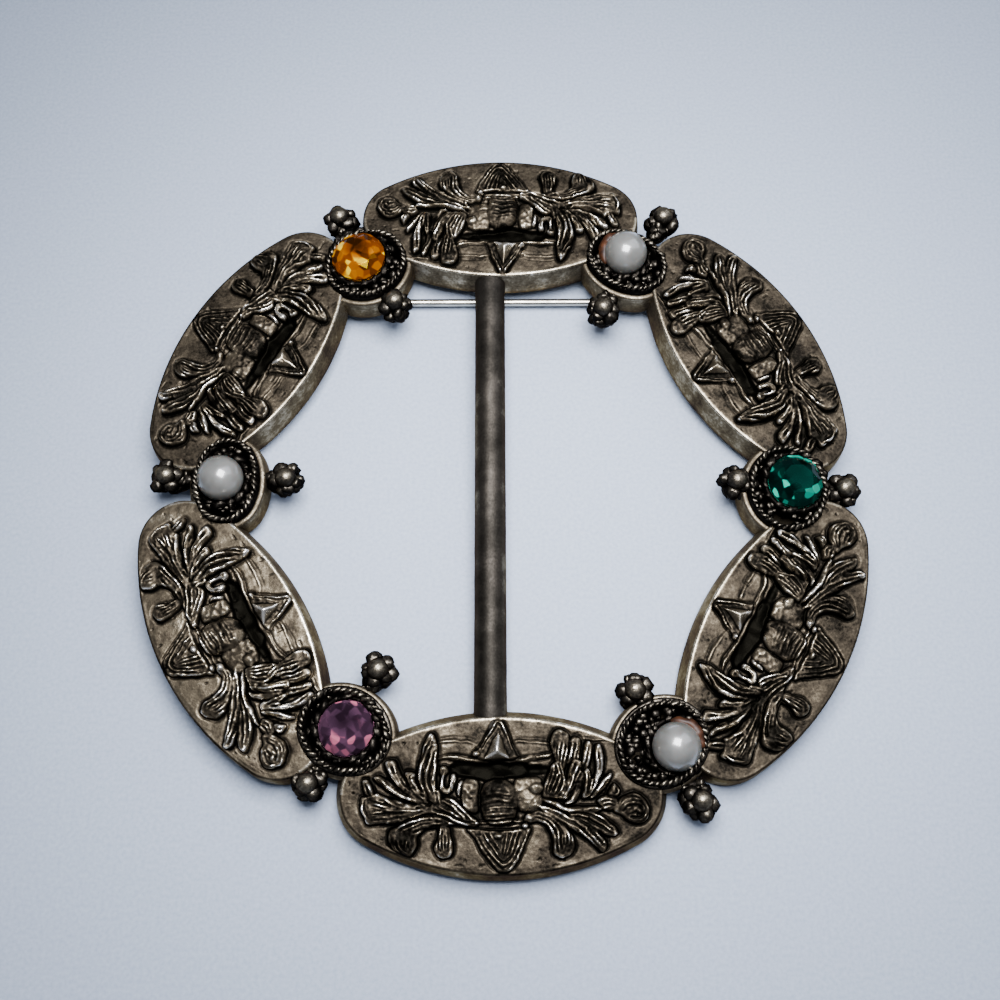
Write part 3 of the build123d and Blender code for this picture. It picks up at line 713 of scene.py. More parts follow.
def relief(x, y):
    """The height over the plaque's face of the cast relief at each point of a plaque, how far each point
    is from the nearest raised shape, and how much it is on a smooth one."""
    height, plain, ridge, fine, groove = np.zeros((5, *x.shape))
    distance = np.full(x.shape, 9.0)
    for text, rise, crown in LEAVES:
        corners = on_plaque(text.split())
        line = smooth_line(corners, 5 * len(corners), closed=True)
        near = close_to(line, x, y, 0.5)
        gap = gap_to(line, x[near], y[near], closed=True)[0]
        gap = np.where(within(line, x[near], y[near]), -gap, gap)
        raised = rise * (1 - step(-0.15, 0.03, gap)) + crown * step(0.1, 0.9, -gap)
        height[near] = np.maximum(height[near], raised)
        if rise > LOW_STEP:
            distance[near] = np.minimum(distance[near], gap)
    for along, out, half_along, half_out, rise, square in LUMPS:
        u = (x / HALF_LENGTH - along) / half_along
        v = (-y / HALF_WIDTH - out) / half_out
        size = (np.abs(u) ** square + np.abs(v) ** square) ** (1 / square)
        height = np.maximum(height, rise * np.clip(1 - size**3, 0, 1) ** 0.45)
        distance = np.minimum(distance, (size - 1) * half_along * HALF_LENGTH)
        if square != BULB_SQUARENESS:
            plain = np.maximum(plain, 0.7 - 0.7 * step(0.8, 0.97, size))
    # The strokes: a sharp crest, a cut on each side of it, and on the leaves a finer crest beyond
    chance = np.random.default_rng(17)
    for number, row in enumerate(LINES.strip().splitlines()):
        half, rise, *numbers = map(float, row.split())
        corners = on_plaque(numbers)
        line = smooth_line(corners, 14 * (len(corners) - 1) + 1)
        near = close_to(line, x, y, half * 3.6)
        gap, share = gap_to(line, x[near], y[near])
        faded = rise * chance.uniform(0.62, 1.12) * step(0, 0.22, share + 0.03) * step(0, 0.25, 1.03 - share)
        faded = faded * (0.80 + 0.34 * mottle(share * 5 + 3 * number, share, 1.0, 40))
        width = 0.92 + 0.38 * np.sin(pi * share) + 0.25 * mottle(share * 4, share + 2 * number, 1.0, 41)
        size = gap / half / width
        for field, stroke in (
            (ridge, 1 - (size / 1.15) ** 1.25),
            (fine, 0.55 * (1 - (np.abs(size - 2.15) / 0.65) ** 1.3)),
            (groove, 1 - ((size - 1.45) / 0.7) ** 2),
        ):
            field[near] = np.maximum(field[near], faded * np.clip(stroke, 0, 1))
    height += np.maximum(ridge, fine * (distance < -0.04)) - 0.85 * np.where(ridge > 0.25 * groove, 0, groove)
    crinkle = 0.055 * mottle(x, y, 0.34, 51) + 0.035 * mottle(x, y, 0.19, 52)
    height += crinkle * step(0.02, -0.10, distance)
    corners = np.array(PYRAMID) * (HALF_LENGTH, -HALF_WIDTH)
    sides = []
    for start, end in zip(corners, np.roll(corners, -1, 0)):
        way = (end - start) / np.hypot(*(end - start))
        normal = np.array((-way[1], way[0]))
        normal *= np.sign(normal @ (corners.mean(0) - start))
        sides.append((x - start[0]) * normal[0] + (y - start[1]) * normal[1])
    inward = np.min(sides, 0)
    rounded = PYRAMID_FOOT + PYRAMID_TOP * np.tanh(inward * PYRAMID_STEEPNESS / PYRAMID_TOP)
    height = np.where(inward > 0, np.maximum(height, rounded), height)
    # The pyramid counts most as smooth, which gives it a painted highlight as well as its rubbed look
    return height, np.minimum(distance, -inward), np.maximum(plain, 1.7 * step(0.0, 0.12, inward))


def cup_reach(number, inset, angles=turns):
    """How far a cup's ring reaches from its middle at each angle, drawn in by an inset."""
    width = RING_WIDTHS[number]
    return oval_reach(angles, CUP_LENGTH - inset, width - inset, min(CUP_END_RADIUS, width - 0.3) - inset)


# Each setting's number, name and stone diameter, then the spots of its cup and of its stone
seats = []
for name, angle, diameter, cup_out, cup_round, seat_out, seat_round in SETTINGS:
    cup = (angle, CUP_RING_RADIUS + cup_out * CUP_LENGTH, cup_round * CUP_LENGTH)
    stone = (angle, cup[1] + seat_out * CUP_LENGTH, cup[2] + seat_round * CUP_LENGTH)
    seats.append((len(seats), name, diameter, cup, stone))


def sunk_in_cups(points):
    """Points with those inside a cup's wall dropped under its floor, where the cup was soldered on."""
    for number, name, diameter, cup, stone in seats:
        x, y, z = np.moveaxis(from_ring(points, *cup), -1, 0)
        inside = np.hypot(x, y) < cup_reach(number, 0.4, np.arctan2(y, x))
        points[..., 2] = np.where(inside, np.minimum(z, 1.0), z)
    return points


# One plaque's face, on a square grid drawn out to the plaque's oval
columns, rows = 350, 156
u, v = np.meshgrid(np.linspace(-1, 1, columns), np.linspace(-1, 1, rows))
disc_x, disc_y = u * np.sqrt(1 - v * v / 2), v * np.sqrt(1 - u * u / 2)
share_out = np.hypot(disc_x, disc_y)
bearing = np.arctan2(disc_y * HALF_WIDTH, disc_x * HALF_LENGTH)
face_inset = DRAFT_INSET + EDGE_ROUND * 0.8
face_reach = oval_reach(bearing, HALF_LENGTH - face_inset, HALF_WIDTH - face_inset, END_RADIUS - face_inset)
face_x, face_y = share_out * face_reach * np.cos(bearing), share_out * face_reach * np.sin(bearing)
edge_gap = (1 - share_out) * face_reach

# Its outermost points in order, and its cells
grid = np.arange(rows * columns).reshape(rows, columns)
border = np.concatenate([grid[0], grid[1:, -1], grid[-1, -2::-1], grid[-2:0:-1, 0]])
face_cells = np.stack((grid[:-1, :-1], grid[:-1, 1:], grid[1:, 1:], grid[1:, :-1]), -1)
face_cells = face_cells.reshape(-1, 4).tolist()
rim_bearing = bearing.ravel()[border]

# The rounded edge, the wall with its draft, and the flat back, as insets from the oval and levels
UNDER_EDGE = THICKNESS - 0.2
EDGE_PROFILE = [
    (DRAFT_INSET + 0.13, THICKNESS - 0.03),
    (DRAFT_INSET + 0.05, THICKNESS - 0.11),
    (DRAFT_INSET + 0.03, THICKNESS - 0.24),
    (DRAFT_INSET * 0.72, THICKNESS * 0.70),
    (DRAFT_INSET * 0.45, THICKNESS * 0.44),
    (DRAFT_INSET * 0.20, THICKNESS * 0.20),
    (0.02, 0.16),
    (0.04, 0.04),
    (0.16, 0.0),
    (2.60, 0.0),
]


def on_face(size, seed):
    """Smooth random blotches from -1 to 1 over a plaque's face."""
    return mottle(face_x, face_y, size, seed)


from_hollow = (
    (np.abs(face_x / HALF_LENGTH - HOLLOW_MIDDLE[0]) / HOLLOW_HALF[0]) ** 2.2
    + (np.abs(-face_y / HALF_WIDTH - HOLLOW_MIDDLE[1]) / HOLLOW_HALF[1]) ** 2.2
) ** 0.45 + 0.22 * on_face(0.9, 53)
in_hollow = 1 - step(0.66, 1.10, from_hollow)

for index in range(6):
    seed = 11 * index + 3
    # Each casting came out a little different, so the relief is warped a little, and differently
    warps = [0.11 * on_face(2.1, seed + 6 + way) + 0.06 * on_face(0.55, seed + 8 + way) for way in (0, 1)]
    height, distance, plain = relief(face_x + warps[0], face_y + warps[1])
    height = height * (1 + 0.20 * on_face(0.9, seed + 9))
    # Round the leaves the metal drops, and it drops more in the hollow behind the inner point
    sunk = -MOAT_DEPTH * (1 - step(0.04, MOAT_REACH, distance))
    sunk = np.minimum(sunk, -HOLLOW_DEPTH * (1 + 0.35 * on_face(0.95, seed + 7)) * in_hollow)
    height = np.where(distance > 0, sunk + np.clip(height, -0.15, 0.4), height)
    height = soften(height, 1) * step(0.0, 0.35, edge_gap)
    dents = 0.045 * on_face(2.3, seed) + 0.022 * on_face(0.55, seed + 1)
    pits = -0.09 * step(0.72, 0.95, on_face(0.42, seed + 2))
    level = THICKNESS + height + (dents + pits) * step(0.0, 0.4, edge_gap)
    # It is rubbed where it stands out, and stays black in the moats and the hollow; close beside the raised
    # shapes that black is patina and also painted shade
    ground = step(-0.05, 0.12, distance)
    sharp = RUB_SHARP * (1 + 0.55 * on_face(0.75, seed + 10)) - RUB_SHARP_GROUND * ground
    # The smooth shapes, most the pyramid, are rubbed brighter and carry a painted highlight
    rub = RUB_ALL + PLAQUE_POLISH[index] + RUB_GROUND * ground + RUB_SMOOTH_AND_HIGHLIGHT * plain
    rub += sharp * (level - soften(level, 6)) + RUB_BROAD * (level - soften(level, 50))
    # Patina and painted shade close beside the strokes, and black in the hollow
    rub -= RUB_MOAT_PATINA_AND_SHADE * (1 - step(0.05, 0.30, distance)) * ground + RUB_HOLLOW * in_hollow
    # A painted highlight on the strip of face beside the edge, strongest on the side of the ring's centre
    rub += np.where(face_y > 0, *STRIP_HIGHLIGHT_RUBS) * (1 - step(0.0, 0.22, edge_gap))
    rub += (0.09 + 0.06 * (1 - ground)) * on_face(1.5, seed + 4)
    points, rubs = [np.stack((face_x, face_y, level), -1).reshape(-1, 3)], [rub.ravel()]
    faces = list(face_cells)
    before, start = border, grid.size
    for inset, level in EDGE_PROFILE:
        inset -= PLAQUE_FEET[index] * step(UNDER_EDGE, 1.2, level)
        reach = oval_reach(rim_bearing, HALF_LENGTH - inset, HALF_WIDTH - inset, END_RADIUS - min(inset, 2.0))
        ring = around(reach, level, rim_bearing)
        wobble = 0.02 * mottle(ring[:, 0], ring[:, 1], 1.7, seed + 5)
        ring[:, :2] *= (1 - np.abs(wobble) / 10)[:, None]
        points.append(ring)
        # The edge's painted highlight, brighter on the side of the ring's centre
        edge_highlight_rub = np.where(np.sin(rim_bearing) > 0, *EDGE_HIGHLIGHT_RUBS)
        rubs.append((edge_highlight_rub if level > UNDER_EDGE else WALL_RUB if level >= 0.5 else FOOT_RUB) + 8 * wobble)
        after = start + np.arange(len(border))
        faces += np.stack((before, after, np.roll(after, -1), np.roll(before, -1)), -1).tolist()
        before, start = after, start + len(border)
    points.append(np.zeros((1, 3)))
    rubs.append([BACK_RUB])
    faces += [(a, start, b) for a, b in zip(before.tolist(), np.roll(before, -1).tolist())]
    out, round_shift = PLAQUE_SHIFTS[index]
    on_back = sunk_in_cups(on_ring(np.vstack(points), 90 + 60 * index, RING_RADIUS + out, round_shift))
    made = piece(f"plaque_{index + 1}", [(on_back, faces)], plaque_pewter, rub=np.concatenate(rubs))
    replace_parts(made, "frame")

# The cups: a soldered disc under each, and the cup itself with its wall and floor, as insets and levels
DISC_PROFILE = [(-0.36, 0.0), (-0.47, 0.08), (-0.50, 0.3), (-0.48, 2.5), (-0.40, 2.7)]
DISC_PROFILE += [(-0.20, DISC_TOP - 0.06), (0.30, DISC_TOP - 0.1), (0.40, 1.3)]
CUP_PROFILE = [(0.06, 0.9), (0.0, 2.5), (0.02, 3.05), (0.12, 3.34), (0.38, 3.46), (0.62, 3.34), (0.74, 3.05)]
CUP_PROFILE += [(0.80, 1.9), (0.95, 1.45), (1.25, CUP_FLOOR)]
discs, bowls, rubs = [], [], []
kinds = ((DISC_PROFILE, 0.03, 1.3, 80, discs), (CUP_PROFILE, 0.04, 1.0, 70, bowls))
for number, name, diameter, cup, stone in seats:
    for profile, rise, size, seed, shells in kinds:
        rings = turned([(cup_reach(number, inset), level) for inset, level in profile])
        uneven = rise * mottle(rings[..., 0], rings[..., 1], size, seed + number)
        rings[..., 2] += uneven * (rings[..., 2] > 1.0)
        shells.append(stack_at(rings, cup))
    rubs.append(0.02 + 0.22 * step(2.4, 3.3, bowls[-1][0][:, 2]) + 2.0 * np.append(uneven.ravel(), (0, 0)))
made = piece("cup_discs", discs, plaque_pewter, rub=lambda level: 0.56 + 0.04 * step(1.0, 2.6, level))
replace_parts(made, "frame")
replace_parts(piece("stone_cups", bowls, cup_pewter, rub=np.concatenate(rubs)), "frame")


def new_growth(name, sockets):
    """An empty Geometry Nodes tree that takes points or lines and these inputs, and what it is given."""
    tree = bpy.data.node_groups.new(name, "GeometryNodeTree")
    for socket, kind in {"Geometry": "Geometry", **sockets, "Finish": "Material"}.items():
        tree.interface.new_socket(socket, in_out="INPUT", socket_type="NodeSocket" + kind)
    tree.interface.new_socket("Geometry", in_out="OUTPUT", socket_type="NodeSocketGeometry")
    return tree, node(tree, "NodeGroupInput").outputs


def end_in_beads(tree, given, rings, where):
    """Ends a tree in round beads where it says, made real and finished."""
    shape = {"Segments": given["Sides"], "Rings": rings, "Radius": 0.5}
    bead = node(tree, "GeometryNodeMeshUVSphere", (), shape)
    beads = node(tree, "GeometryNodeInstanceOnPoints", (), {"Instance": bead, **where})
    real = node(tree, "GeometryNodeRealizeInstances", (), {"Geometry": beads})
    finished = node(tree, "GeometryNodeSetMaterial", (), {"Geometry": real, "Material": given["Finish"]})
    node(tree, "NodeGroupOutput", (), {"Geometry": finished})
    return tree


def beads_along_lines():
    """Geometry Nodes: evenly spaced beads along closed lines, each stretched and turned askew to the
    line, which is what a twisted wire or a lobed collar looks like."""
    sockets = {"Count": "Int", "Length": "Float", "Width": "Float", "Height": "Float"}
    sockets |= {"Askew": "Float", "Uneven": "Float", "Seed": "Int", "Sides": "Int"}
    tree, given = new_growth("beads_along_lines", sockets)
    line = node(tree, "GeometryNodeMeshToCurve", (), {"Mesh": given["Geometry"]})
    spaced = node(tree, "GeometryNodeResampleCurve", (), {"Curve": line, "Count": given["Count"]})
    tangent = node(tree, "GeometryNodeInputTangent")
    axes = {"axis": "X", "pivot_axis": "Z"}
    facing = node(tree, "FunctionNodeAlignRotationToVector", axes, {"Vector": tangent})
    askew = node(tree, "FunctionNodeAxisAngleToRotation", (), {"Axis": (0, 0, 1), "Angle": given["Askew"]})
    parts = {"Rotation": facing, "Rotate By": askew}
    rotation = node(tree, "FunctionNodeRotateRotation", {"rotation_space": "LOCAL"}, parts)
    least = node(tree, "ShaderNodeMath", {"operation": "SUBTRACT"}, {0: 1.0, 1: given["Uneven"]})
    most = node(tree, "ShaderNodeMath", {"operation": "ADD"}, {0: 1.0, 1: given["Uneven"]})
    parts = {"Min": least, "Max": most, "Seed": given["Seed"]}
    chance = node(tree, "FunctionNodeRandomValue", {"data_type": "FLOAT"}, parts)
    parts = {"X": given["Length"], "Y": given["Width"], "Z": given["Height"]}
    size = node(tree, "ShaderNodeCombineXYZ", (), parts)
    varied = node(tree, "ShaderNodeVectorMath", {"operation": "SCALE"}, {0: size, "Scale": chance})
    return end_in_beads(tree, given, 8, {"Points": spaced, "Rotation": rotation, "Scale": varied})


def beads_on_spots():
    """Geometry Nodes: a round bead on every point, as wide as the point's own width says."""
    tree, given = new_growth("beads_on_spots", {"Sides": "Int", "Rings": "Int"})
    width = node(tree, "GeometryNodeInputNamedAttribute", {"data_type": "FLOAT"}, {"Name": "width"})
    return end_in_beads(tree, given, given["Rings"], {"Points": given["Geometry"], "Scale": width})


def grown(name, points, edges, tree, values, rub, rough=(0.0, 1.0, 0), widths=()):
    """A piece of the beads that a node tree makes from points and lines in the back's frame. It is rubbed
    by the first amount underneath and the second on top, and pushed in and out by up to a depth, in
    lumps about a size across, both in millimetres, with a seed."""
    seedbed = bpy.data.meshes.new(name)
    seedbed.from_pydata(place(np.vstack(points)).tolist(), edges, [])
    if len(widths):
        seedbed.attributes.new("width", "FLOAT", "POINT").data.foreach_set("value", widths)
    holder = bpy.data.objects.new(name + "_seedbed", seedbed)
    bpy.context.scene.collection.objects.link(holder)
    growth = holder.modifiers.new("growth", "NODES")
    growth.node_group = tree
    values = {**values, "Finish": cup_pewter}
    for socket in tree.interface.items_tree:
        if socket.in_out == "INPUT" and socket.name in values:
            growth[socket.identifier] = values[socket.name]
    ready = holder.evaluated_get(bpy.context.evaluated_depsgraph_get())
    mesh = bpy.data.meshes.new_from_object(ready)
    mesh.name = name
    holder.modifiers.clear()
    bpy.data.objects.remove(holder)
    spots = np.zeros(len(mesh.vertices) * 3, np.float32)
    mesh.vertices.foreach_get("co", spots)
    spots = spots.reshape(-1, 3) * 1000
    depth, size, seed = rough
    if depth:
        ways = ((0, 1), (1, 2), (2, 0))
        shifts = [mottle(spots[:, a], spots[:, b] + 3 * spots[:, 2 - a], size, seed + a) for a, b in ways]
        spots = ((spots + depth * np.stack(shifts, -1)) / 1000).astype(np.float32)
        mesh.vertices.foreach_set("co", spots.ravel())
    normals = np.zeros(len(mesh.vertices) * 3, np.float32)
    mesh.vertex_normals.foreach_get("vector", normals)
    on_top = step(-0.2, 0.95, normals.reshape(-1, 3)[:, 2])
    return dress(mesh, name, cup_pewter, rub=rub[0] + (rub[1] - rub[0]) * on_top)


line_beads = beads_along_lines()
spot_beads = beads_on_spots()
loop_edges = [(SIDES * n + a, SIDES * n + b) for n in range(len(seats)) for a, b in neighbours(SIDES)]

# The twisted wire round each cup's mouth
loops = []
for number, name, diameter, cup, stone in seats:
    line = around(cup_reach(number, 0.36), 3.46)
    line[:, 2] += 0.05 * mottle(line[:, 0], line[:, 1], 2.0, 90 + number)
    loops.append(on_ring(line, *cup))
strands = {"Count": 42, "Length": 0.00088, "Width": 0.00046, "Height": 0.00076}
strands |= {"Askew": radians(34), "Uneven": 0.28, "Seed": 4, "Sides": 12}
made = grown("rope_rims", loops, loop_edges, line_beads, strands, (-0.05, 0.62), (0.09, 0.5, 95))
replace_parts(made, "frame")

# The plain wire round the foot of two of the cups
WIRE_RADIUS = 0.28
WIRE_LEVEL = 3.08
shells = []
for number, name, diameter, cup, stone in seats:
    if name not in ("purple_stone", "pearl_lower_right"):
        continue
    across, reach = turns[::8], cup_reach(number, 0.14)
    wire = turned([(reach + WIRE_RADIUS * cos(t), WIRE_LEVEL + WIRE_RADIUS * sin(t)) for t in across])
    wire[..., 2] += 0.10 * mottle(wire[..., 0], wire[..., 1], 2.4, 86 + number)
    shells.append((on_ring(wire.reshape(-1, 3), *cup), band(len(across), SIDES)))
made = piece("cup_wires", shells, cup_pewter, rub=lambda level: 0.06 + 0.48 * step(3.0, 3.42, level))
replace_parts(made, "frame")

# The lobed collar round each stone: a plain seat with uneven lobes standing round it
shells, loops = [], []
for number, name, diameter, cup, stone in seats:
    middle = diameter / 2 + 0.30
    top = PEARL_LEVEL - 0.45 if name.startswith("pearl") else GIRDLE_LEVEL + 0.05
    profile = [(middle + 0.2, 1.0), (middle + 0.2, top - 0.2), (middle + 0.05, top), (middle - 0.2, top)]
    profile += [(middle - 0.26, top - 0.15), (middle - 0.30 - 0.62 * (top - 1.2), 1.2)]
    shells.append(stack_at(turned(profile), stone))
    loops.append(on_ring(around(middle, top - 0.30), *stone))
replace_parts(piece("stone_seats", shells, cup_pewter, rub=0.10), "frame")
lobes = {"Count": 15, "Length": 0.00125, "Width": 0.00078, "Height": 0.0010}
lobes |= {"Askew": 0.45, "Uneven": 0.24, "Seed": 9, "Sides": 14}
made = grown("collar_lobes", loops, loop_edges, line_beads, lobes, (-0.08, 0.40), (0.13, 0.5, 97))
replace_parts(made, "frame")

# The granular bed of solder and old black between each stone's collar and the twisted wire
chance = np.random.default_rng(5)
spots, widths = [], []
for number, name, diameter, cup, stone in seats:
    for turn in np.linspace(0, 6 * pi, 126, endpoint=False):
        turn += chance.uniform(-0.08, 0.08)
        far = cup_reach(number, 0.75, turn) - 2.6 * chance.uniform(0.0, 1.0) ** 1.3
        spot = on_ring([[far * cos(turn), far * sin(turn), chance.uniform(2.2, 2.9)]], *cup)
        if np.hypot(*from_ring(spot, *stone)[0, :2]) > diameter / 2 + 0.15:
            spots.append(spot)
            widths.append(chance.uniform(0.42, 0.95) / 1000)
bead = {"Sides": 8, "Rings": 6}
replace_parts(grown("bed_grains", spots, [], spot_beads, bead, (-0.10, 0.54), (0.12, 0.4, 99), widths), "frame")

# The bead clusters inside and outside each cup: a polished ball among rough petals and lumps of solder,
# on a pad that runs back to the cup. The petals' rings: how many, reach, drop, and the widest petal
PETAL_RINGS = [(5, 1.00, 0.50, 1.55), (6, 1.08, 1.10, 1.55), (5, 0.80, 1.70, 1.50)]
PAD_PROFILE = [(1.0, 0.95), (1.25, 1.15), (1.32, 1.9), (1.15, 2.5), (0.8, 2.75)]
chance = np.random.default_rng(21)
balls, spots, widths, pads = [], [], [], []
for (name, angle, *_), shifts in zip(SETTINGS, CLUSTER_SHIFTS):
    for way, out, round_shift in ((1, *shifts[:2]), (-1, *shifts[2:])):
        lumps = []
        for ring, (many, reach, drop, widest) in enumerate(PETAL_RINGS):
            for turn in np.linspace(0, 2 * pi, many, endpoint=False):
                turn += chance.uniform(-0.3, 0.3) + 0.5 * ring
                far = reach * chance.uniform(0.86, 1.12)
                level = BEAD_LEVEL - drop + chance.uniform(-0.15, 0.12)
                lumps.append((far * cos(turn), CLUSTER_REACH + far * sin(turn), level))
                widths.append(chance.uniform(1.10, widest) / 1000)
        for share in np.linspace(0, 1, 5):
            aside = chance.uniform(-0.7, 0.7)
            lumps.append((aside, CLUSTER_REACH - 1.0 - 0.9 * share, BEAD_LEVEL - 0.55 - 0.4 * share))
            widths.append(chance.uniform(0.75, 1.15) / 1000)
        pad = turned(PAD_PROFILE, turns[::3]) * (0.85, 1.15, 1) + (0, CLUSTER_REACH - 0.65, 0)
        pad, pad_faces = stack(pad)
        spot, facing = (angle, CUP_RING_RADIUS + out, round_shift), (way, way, 1)
        balls.append(on_ring(np.array([[0.0, CLUSTER_REACH, BEAD_LEVEL]]) * facing, *spot))
        spots.append(on_ring(np.array(lumps) * facing, *spot))
        pads.append((on_ring(pad * facing, *spot), pad_faces))
ball, ball_widths = {"Sides": 16, "Rings": 12}, [BEAD_DIAMETER / 1000] * len(balls)
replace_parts(grown("cluster_balls", balls, [], spot_beads, ball, (0.16, 0.66), widths=ball_widths), "frame")
lump = {"Sides": 10, "Rings": 7}
made = grown("cluster_lumps", spots, [], spot_beads, lump, (-0.04, 0.58), (0.17, 0.65, 77), widths)
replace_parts(made, "frame")
made = piece("cluster_pads", pads, cup_pewter, rub=lambda level: 0.10 + 0.15 * step(1.5, 2.7, level))
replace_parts(made, "frame")

# The bar across the middle, a little uneven along its length, with painted shade along its front, most low
# down, where the lamp is reflected
bar_half = RING_RADIUS - HALF_WIDTH
bar_end = np.linspace(bar_half - 1.2, bar_half + 1.2, 9)
lengths = np.concatenate([-bar_end[::-1], np.linspace(-bar_half + 1.6, bar_half - 1.6, 90), bar_end])
bar_turns = np.linspace(0, 2 * pi, 40, endpoint=False)
rings = []
for y in lengths:
    flare = BAR_FLARE * (1 - step(0.0, 1.3, bar_half - abs(y)))
    wave = 0.012 * mottle(np.cos(bar_turns) * 1.2 + 5, 0.7 * y + np.sin(bar_turns), 1.1, 33)
    rings.append(around(BAR_RADIUS - 0.02 + flare + wave, y, bar_turns)[:, [0, 2, 1]])
bar = stack(np.array(rings) + (BAR_SHIFT, 0, THICKNESS / 2))
facing_up = np.append(np.tile(np.sin(bar_turns), len(lengths)), (0, 0))
x, y = bar[0][:, 0], bar[0][:, 1]
# Painted shade along the bar's front, strongest low down
painted_front_shade = 0.24 * step(0.60, 1.0, facing_up) * (0.55 + 0.45 * step(8.0, -8.0, y))
made = piece("cross_bar", [bar], bar_pewter, rub=0.56 - painted_front_shade + 0.12 * mottle(x * 0.8, y, 1.9, 35))
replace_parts(made, "frame")

# The findings on the back, which nobody rubs
BACK_FOOT = PIN_DEPTH + 0.4
FINDING_RUB = 0.42


def hinge_frame(points, side=1):
    """Points beside the pin's row (x along it, y away from the back, z along the rivet) in the back's
    frame."""
    x, y, z = np.moveaxis(np.asarray(points, float), -1, 0)
    return np.stack((side * PIN_PLACE + x, PIN_ROW + z, -PIN_DEPTH - y), -1)


# The hinge's ears: plates with a round end and a hole for the rivet, as shares of their thickness
RIVET_HOLE_RADIUS = 0.43
EAR_BEVEL = 0.06
ear_turns = turns[::2]
down = np.maximum(-np.sin(ear_turns), 1e-9)
shells = []
for side in (1, -1):
    profile = []
    for share, inset in ((0.0, EAR_BEVEL), (0.08, 0.0), (0.92, 0.0), (1.0, EAR_BEVEL)):
        radius = EAR_RADIUS - inset
        square = np.minimum(radius / np.maximum(np.abs(np.cos(ear_turns)), 1e-6), BACK_FOOT / down)
        profile.append((np.where(np.sin(ear_turns) < 0, square, radius), share))
    profile += [(RIVET_HOLE_RADIUS, 1.0), (RIVET_HOLE_RADIUS, 0.0)]
    near = EYE_THICKNESS / 2 + EAR_GAP
    ear = turned([(reach, side * (near + share * EAR_THICKNESS)) for reach, share in profile], ear_turns)
    shells.append((hinge_frame(ear.reshape(-1, 3)), band(len(profile), len(ear_turns))))
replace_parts(piece("pin_hinge_ears", shells, bar_pewter, rub=FINDING_RUB, smooth=False), "frame")

# The catch: a trough open away from the back, its outline across the pin and then along it
CATCH_HALF_LENGTH = 1.3
slot_half = PIN_RADIUS + 0.14
half_outline = [(slot_half + 0.6, -BACK_FOOT), (slot_half + 0.6, EAR_RADIUS - 0.12)]
half_outline += [(slot_half + 0.48, EAR_RADIUS), (slot_half + 0.12, EAR_RADIUS)]
half_outline.append((slot_half, EAR_RADIUS - 0.12))
outline = half_outline + [(slot_half * cos(t), slot_half * sin(t)) for t in np.linspace(0, -pi, 13)]
outline += [(-z, y) for z, y in reversed(half_outline)]
corners = len(outline)
points = np.array([(x, y, z) for x in (-CATCH_HALF_LENGTH, CATCH_HALF_LENGTH) for z, y in outline])
faces = [tuple(range(corners)), tuple(range(2 * corners - 1, corners - 1, -1))]
faces += [(a, b, b + corners, a + corners) for a, b in neighbours(corners)]
catch = [(hinge_frame(points, -1), faces)]
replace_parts(piece("pin_catch", catch, bar_pewter, rub=FINDING_RUB, smooth=False), "frame")

# The pin: an eye that turns on the rivet and a wire that narrows to its point
POINT_LENGTH = 4.0
EYE_HOLE_RADIUS = 0.45
full_wire = 2 * PIN_PLACE + 2.3 - POINT_LENGTH
stem = [(0.30, -0.55), (0.36, -0.62), (PIN_RADIUS, -0.8), (PIN_RADIUS, -full_wire)]
for share in np.linspace(0.1, 1.0, 8):
    stem.append((PIN_RADIUS * (1 - 0.75 * share**1.3), -full_wire - POINT_LENGTH * share))
wire, wire_faces = stack(turned(stem, turns[::4])[..., [2, 0, 1]])
half_eye = EYE_THICKNESS / 2
eye_profile = [(EYE_RADIUS - 0.1, -half_eye), (EYE_RADIUS, -0.34), (EYE_RADIUS, 0.34)]
eye_profile += [(EYE_RADIUS - 0.1, half_eye), (EYE_HOLE_RADIUS, half_eye), (EYE_HOLE_RADIUS, -half_eye)]
eye = turned(eye_profile, turns[::2]).reshape(-1, 3)
shells = [(hinge_frame(wire), wire_faces), (hinge_frame(eye), band(len(eye_profile), SIDES // 2))]
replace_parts(piece("sprung_pin", shells, steel, body="pin"), "pin_stem")
refinish("hinge_rivet", steel)

# The cut stones keep their CAD facets; behind each is its foil. Each has its glass's four colours, from its
# painted dark patches to its painted bright flashes, its foil's two, and its slot
GLASS = {
    "amber_stone": (("#1e0a00", "#683000", "#9c5c00", "#e8c400"), ("#4c2000", "#b07000"), "amber_glass"),
    "green_stone": (("#000504", "#00110e", "#001f18", "#10a88c"), ("#000f0c", "#055c48"), "green_glass"),
    "purple_stone": (("#180e17", "#342231", "#4a3042", "#b8647a"), ("#241522", "#84566c"), "purple_glass"),
}
FACET_WIDTH = 0.75
for number, name, diameter, cup, stone in seats:
    if name not in GLASS:
        continue
    glass, back, slot = GLASS[name]
    # The spot round which the glass gets painted shade: 4.2 mm up over the stone and a little towards the
    # brooch's top
    shade_spot = place(on_ring([[0.0, 0.0, 4.2]], *stone) + (0.0, 0.75, 0.0))[0]
    refinish(name, cut_glass("foiled_cut_glass_" + name, glass, FACET_WIDTH, shade_spot))
    depth, rim = PAVILION_SHARE * diameter, diameter / 2
    profile = [(0.31, -depth - 0.08), (rim + 0.04, -0.02), (rim + 0.04, 0.04)]
    profile += [(rim + 0.015, 0.04), (rim + 0.015, 0.0), (0.30, -depth - 0.025)]
    shells = [stack_at(turned(profile, turns[::2]) + (0, 0, GIRDLE_LEVEL), stone)]
    # Mirror foil tinted by its lacquer. To the eye: bright broken flashes behind the glass.
    look = {"Base Color": list(zip((0.38, 0.60), back)), "Metallic": 1.0, "Roughness": 0.38}
    foil = clouded("lacquered_foil_" + name, 1.1, 3.0, look, bump=(0.5, 0.1, 1.1, 3.0))
    piece(name + "_foil", shells, foil)

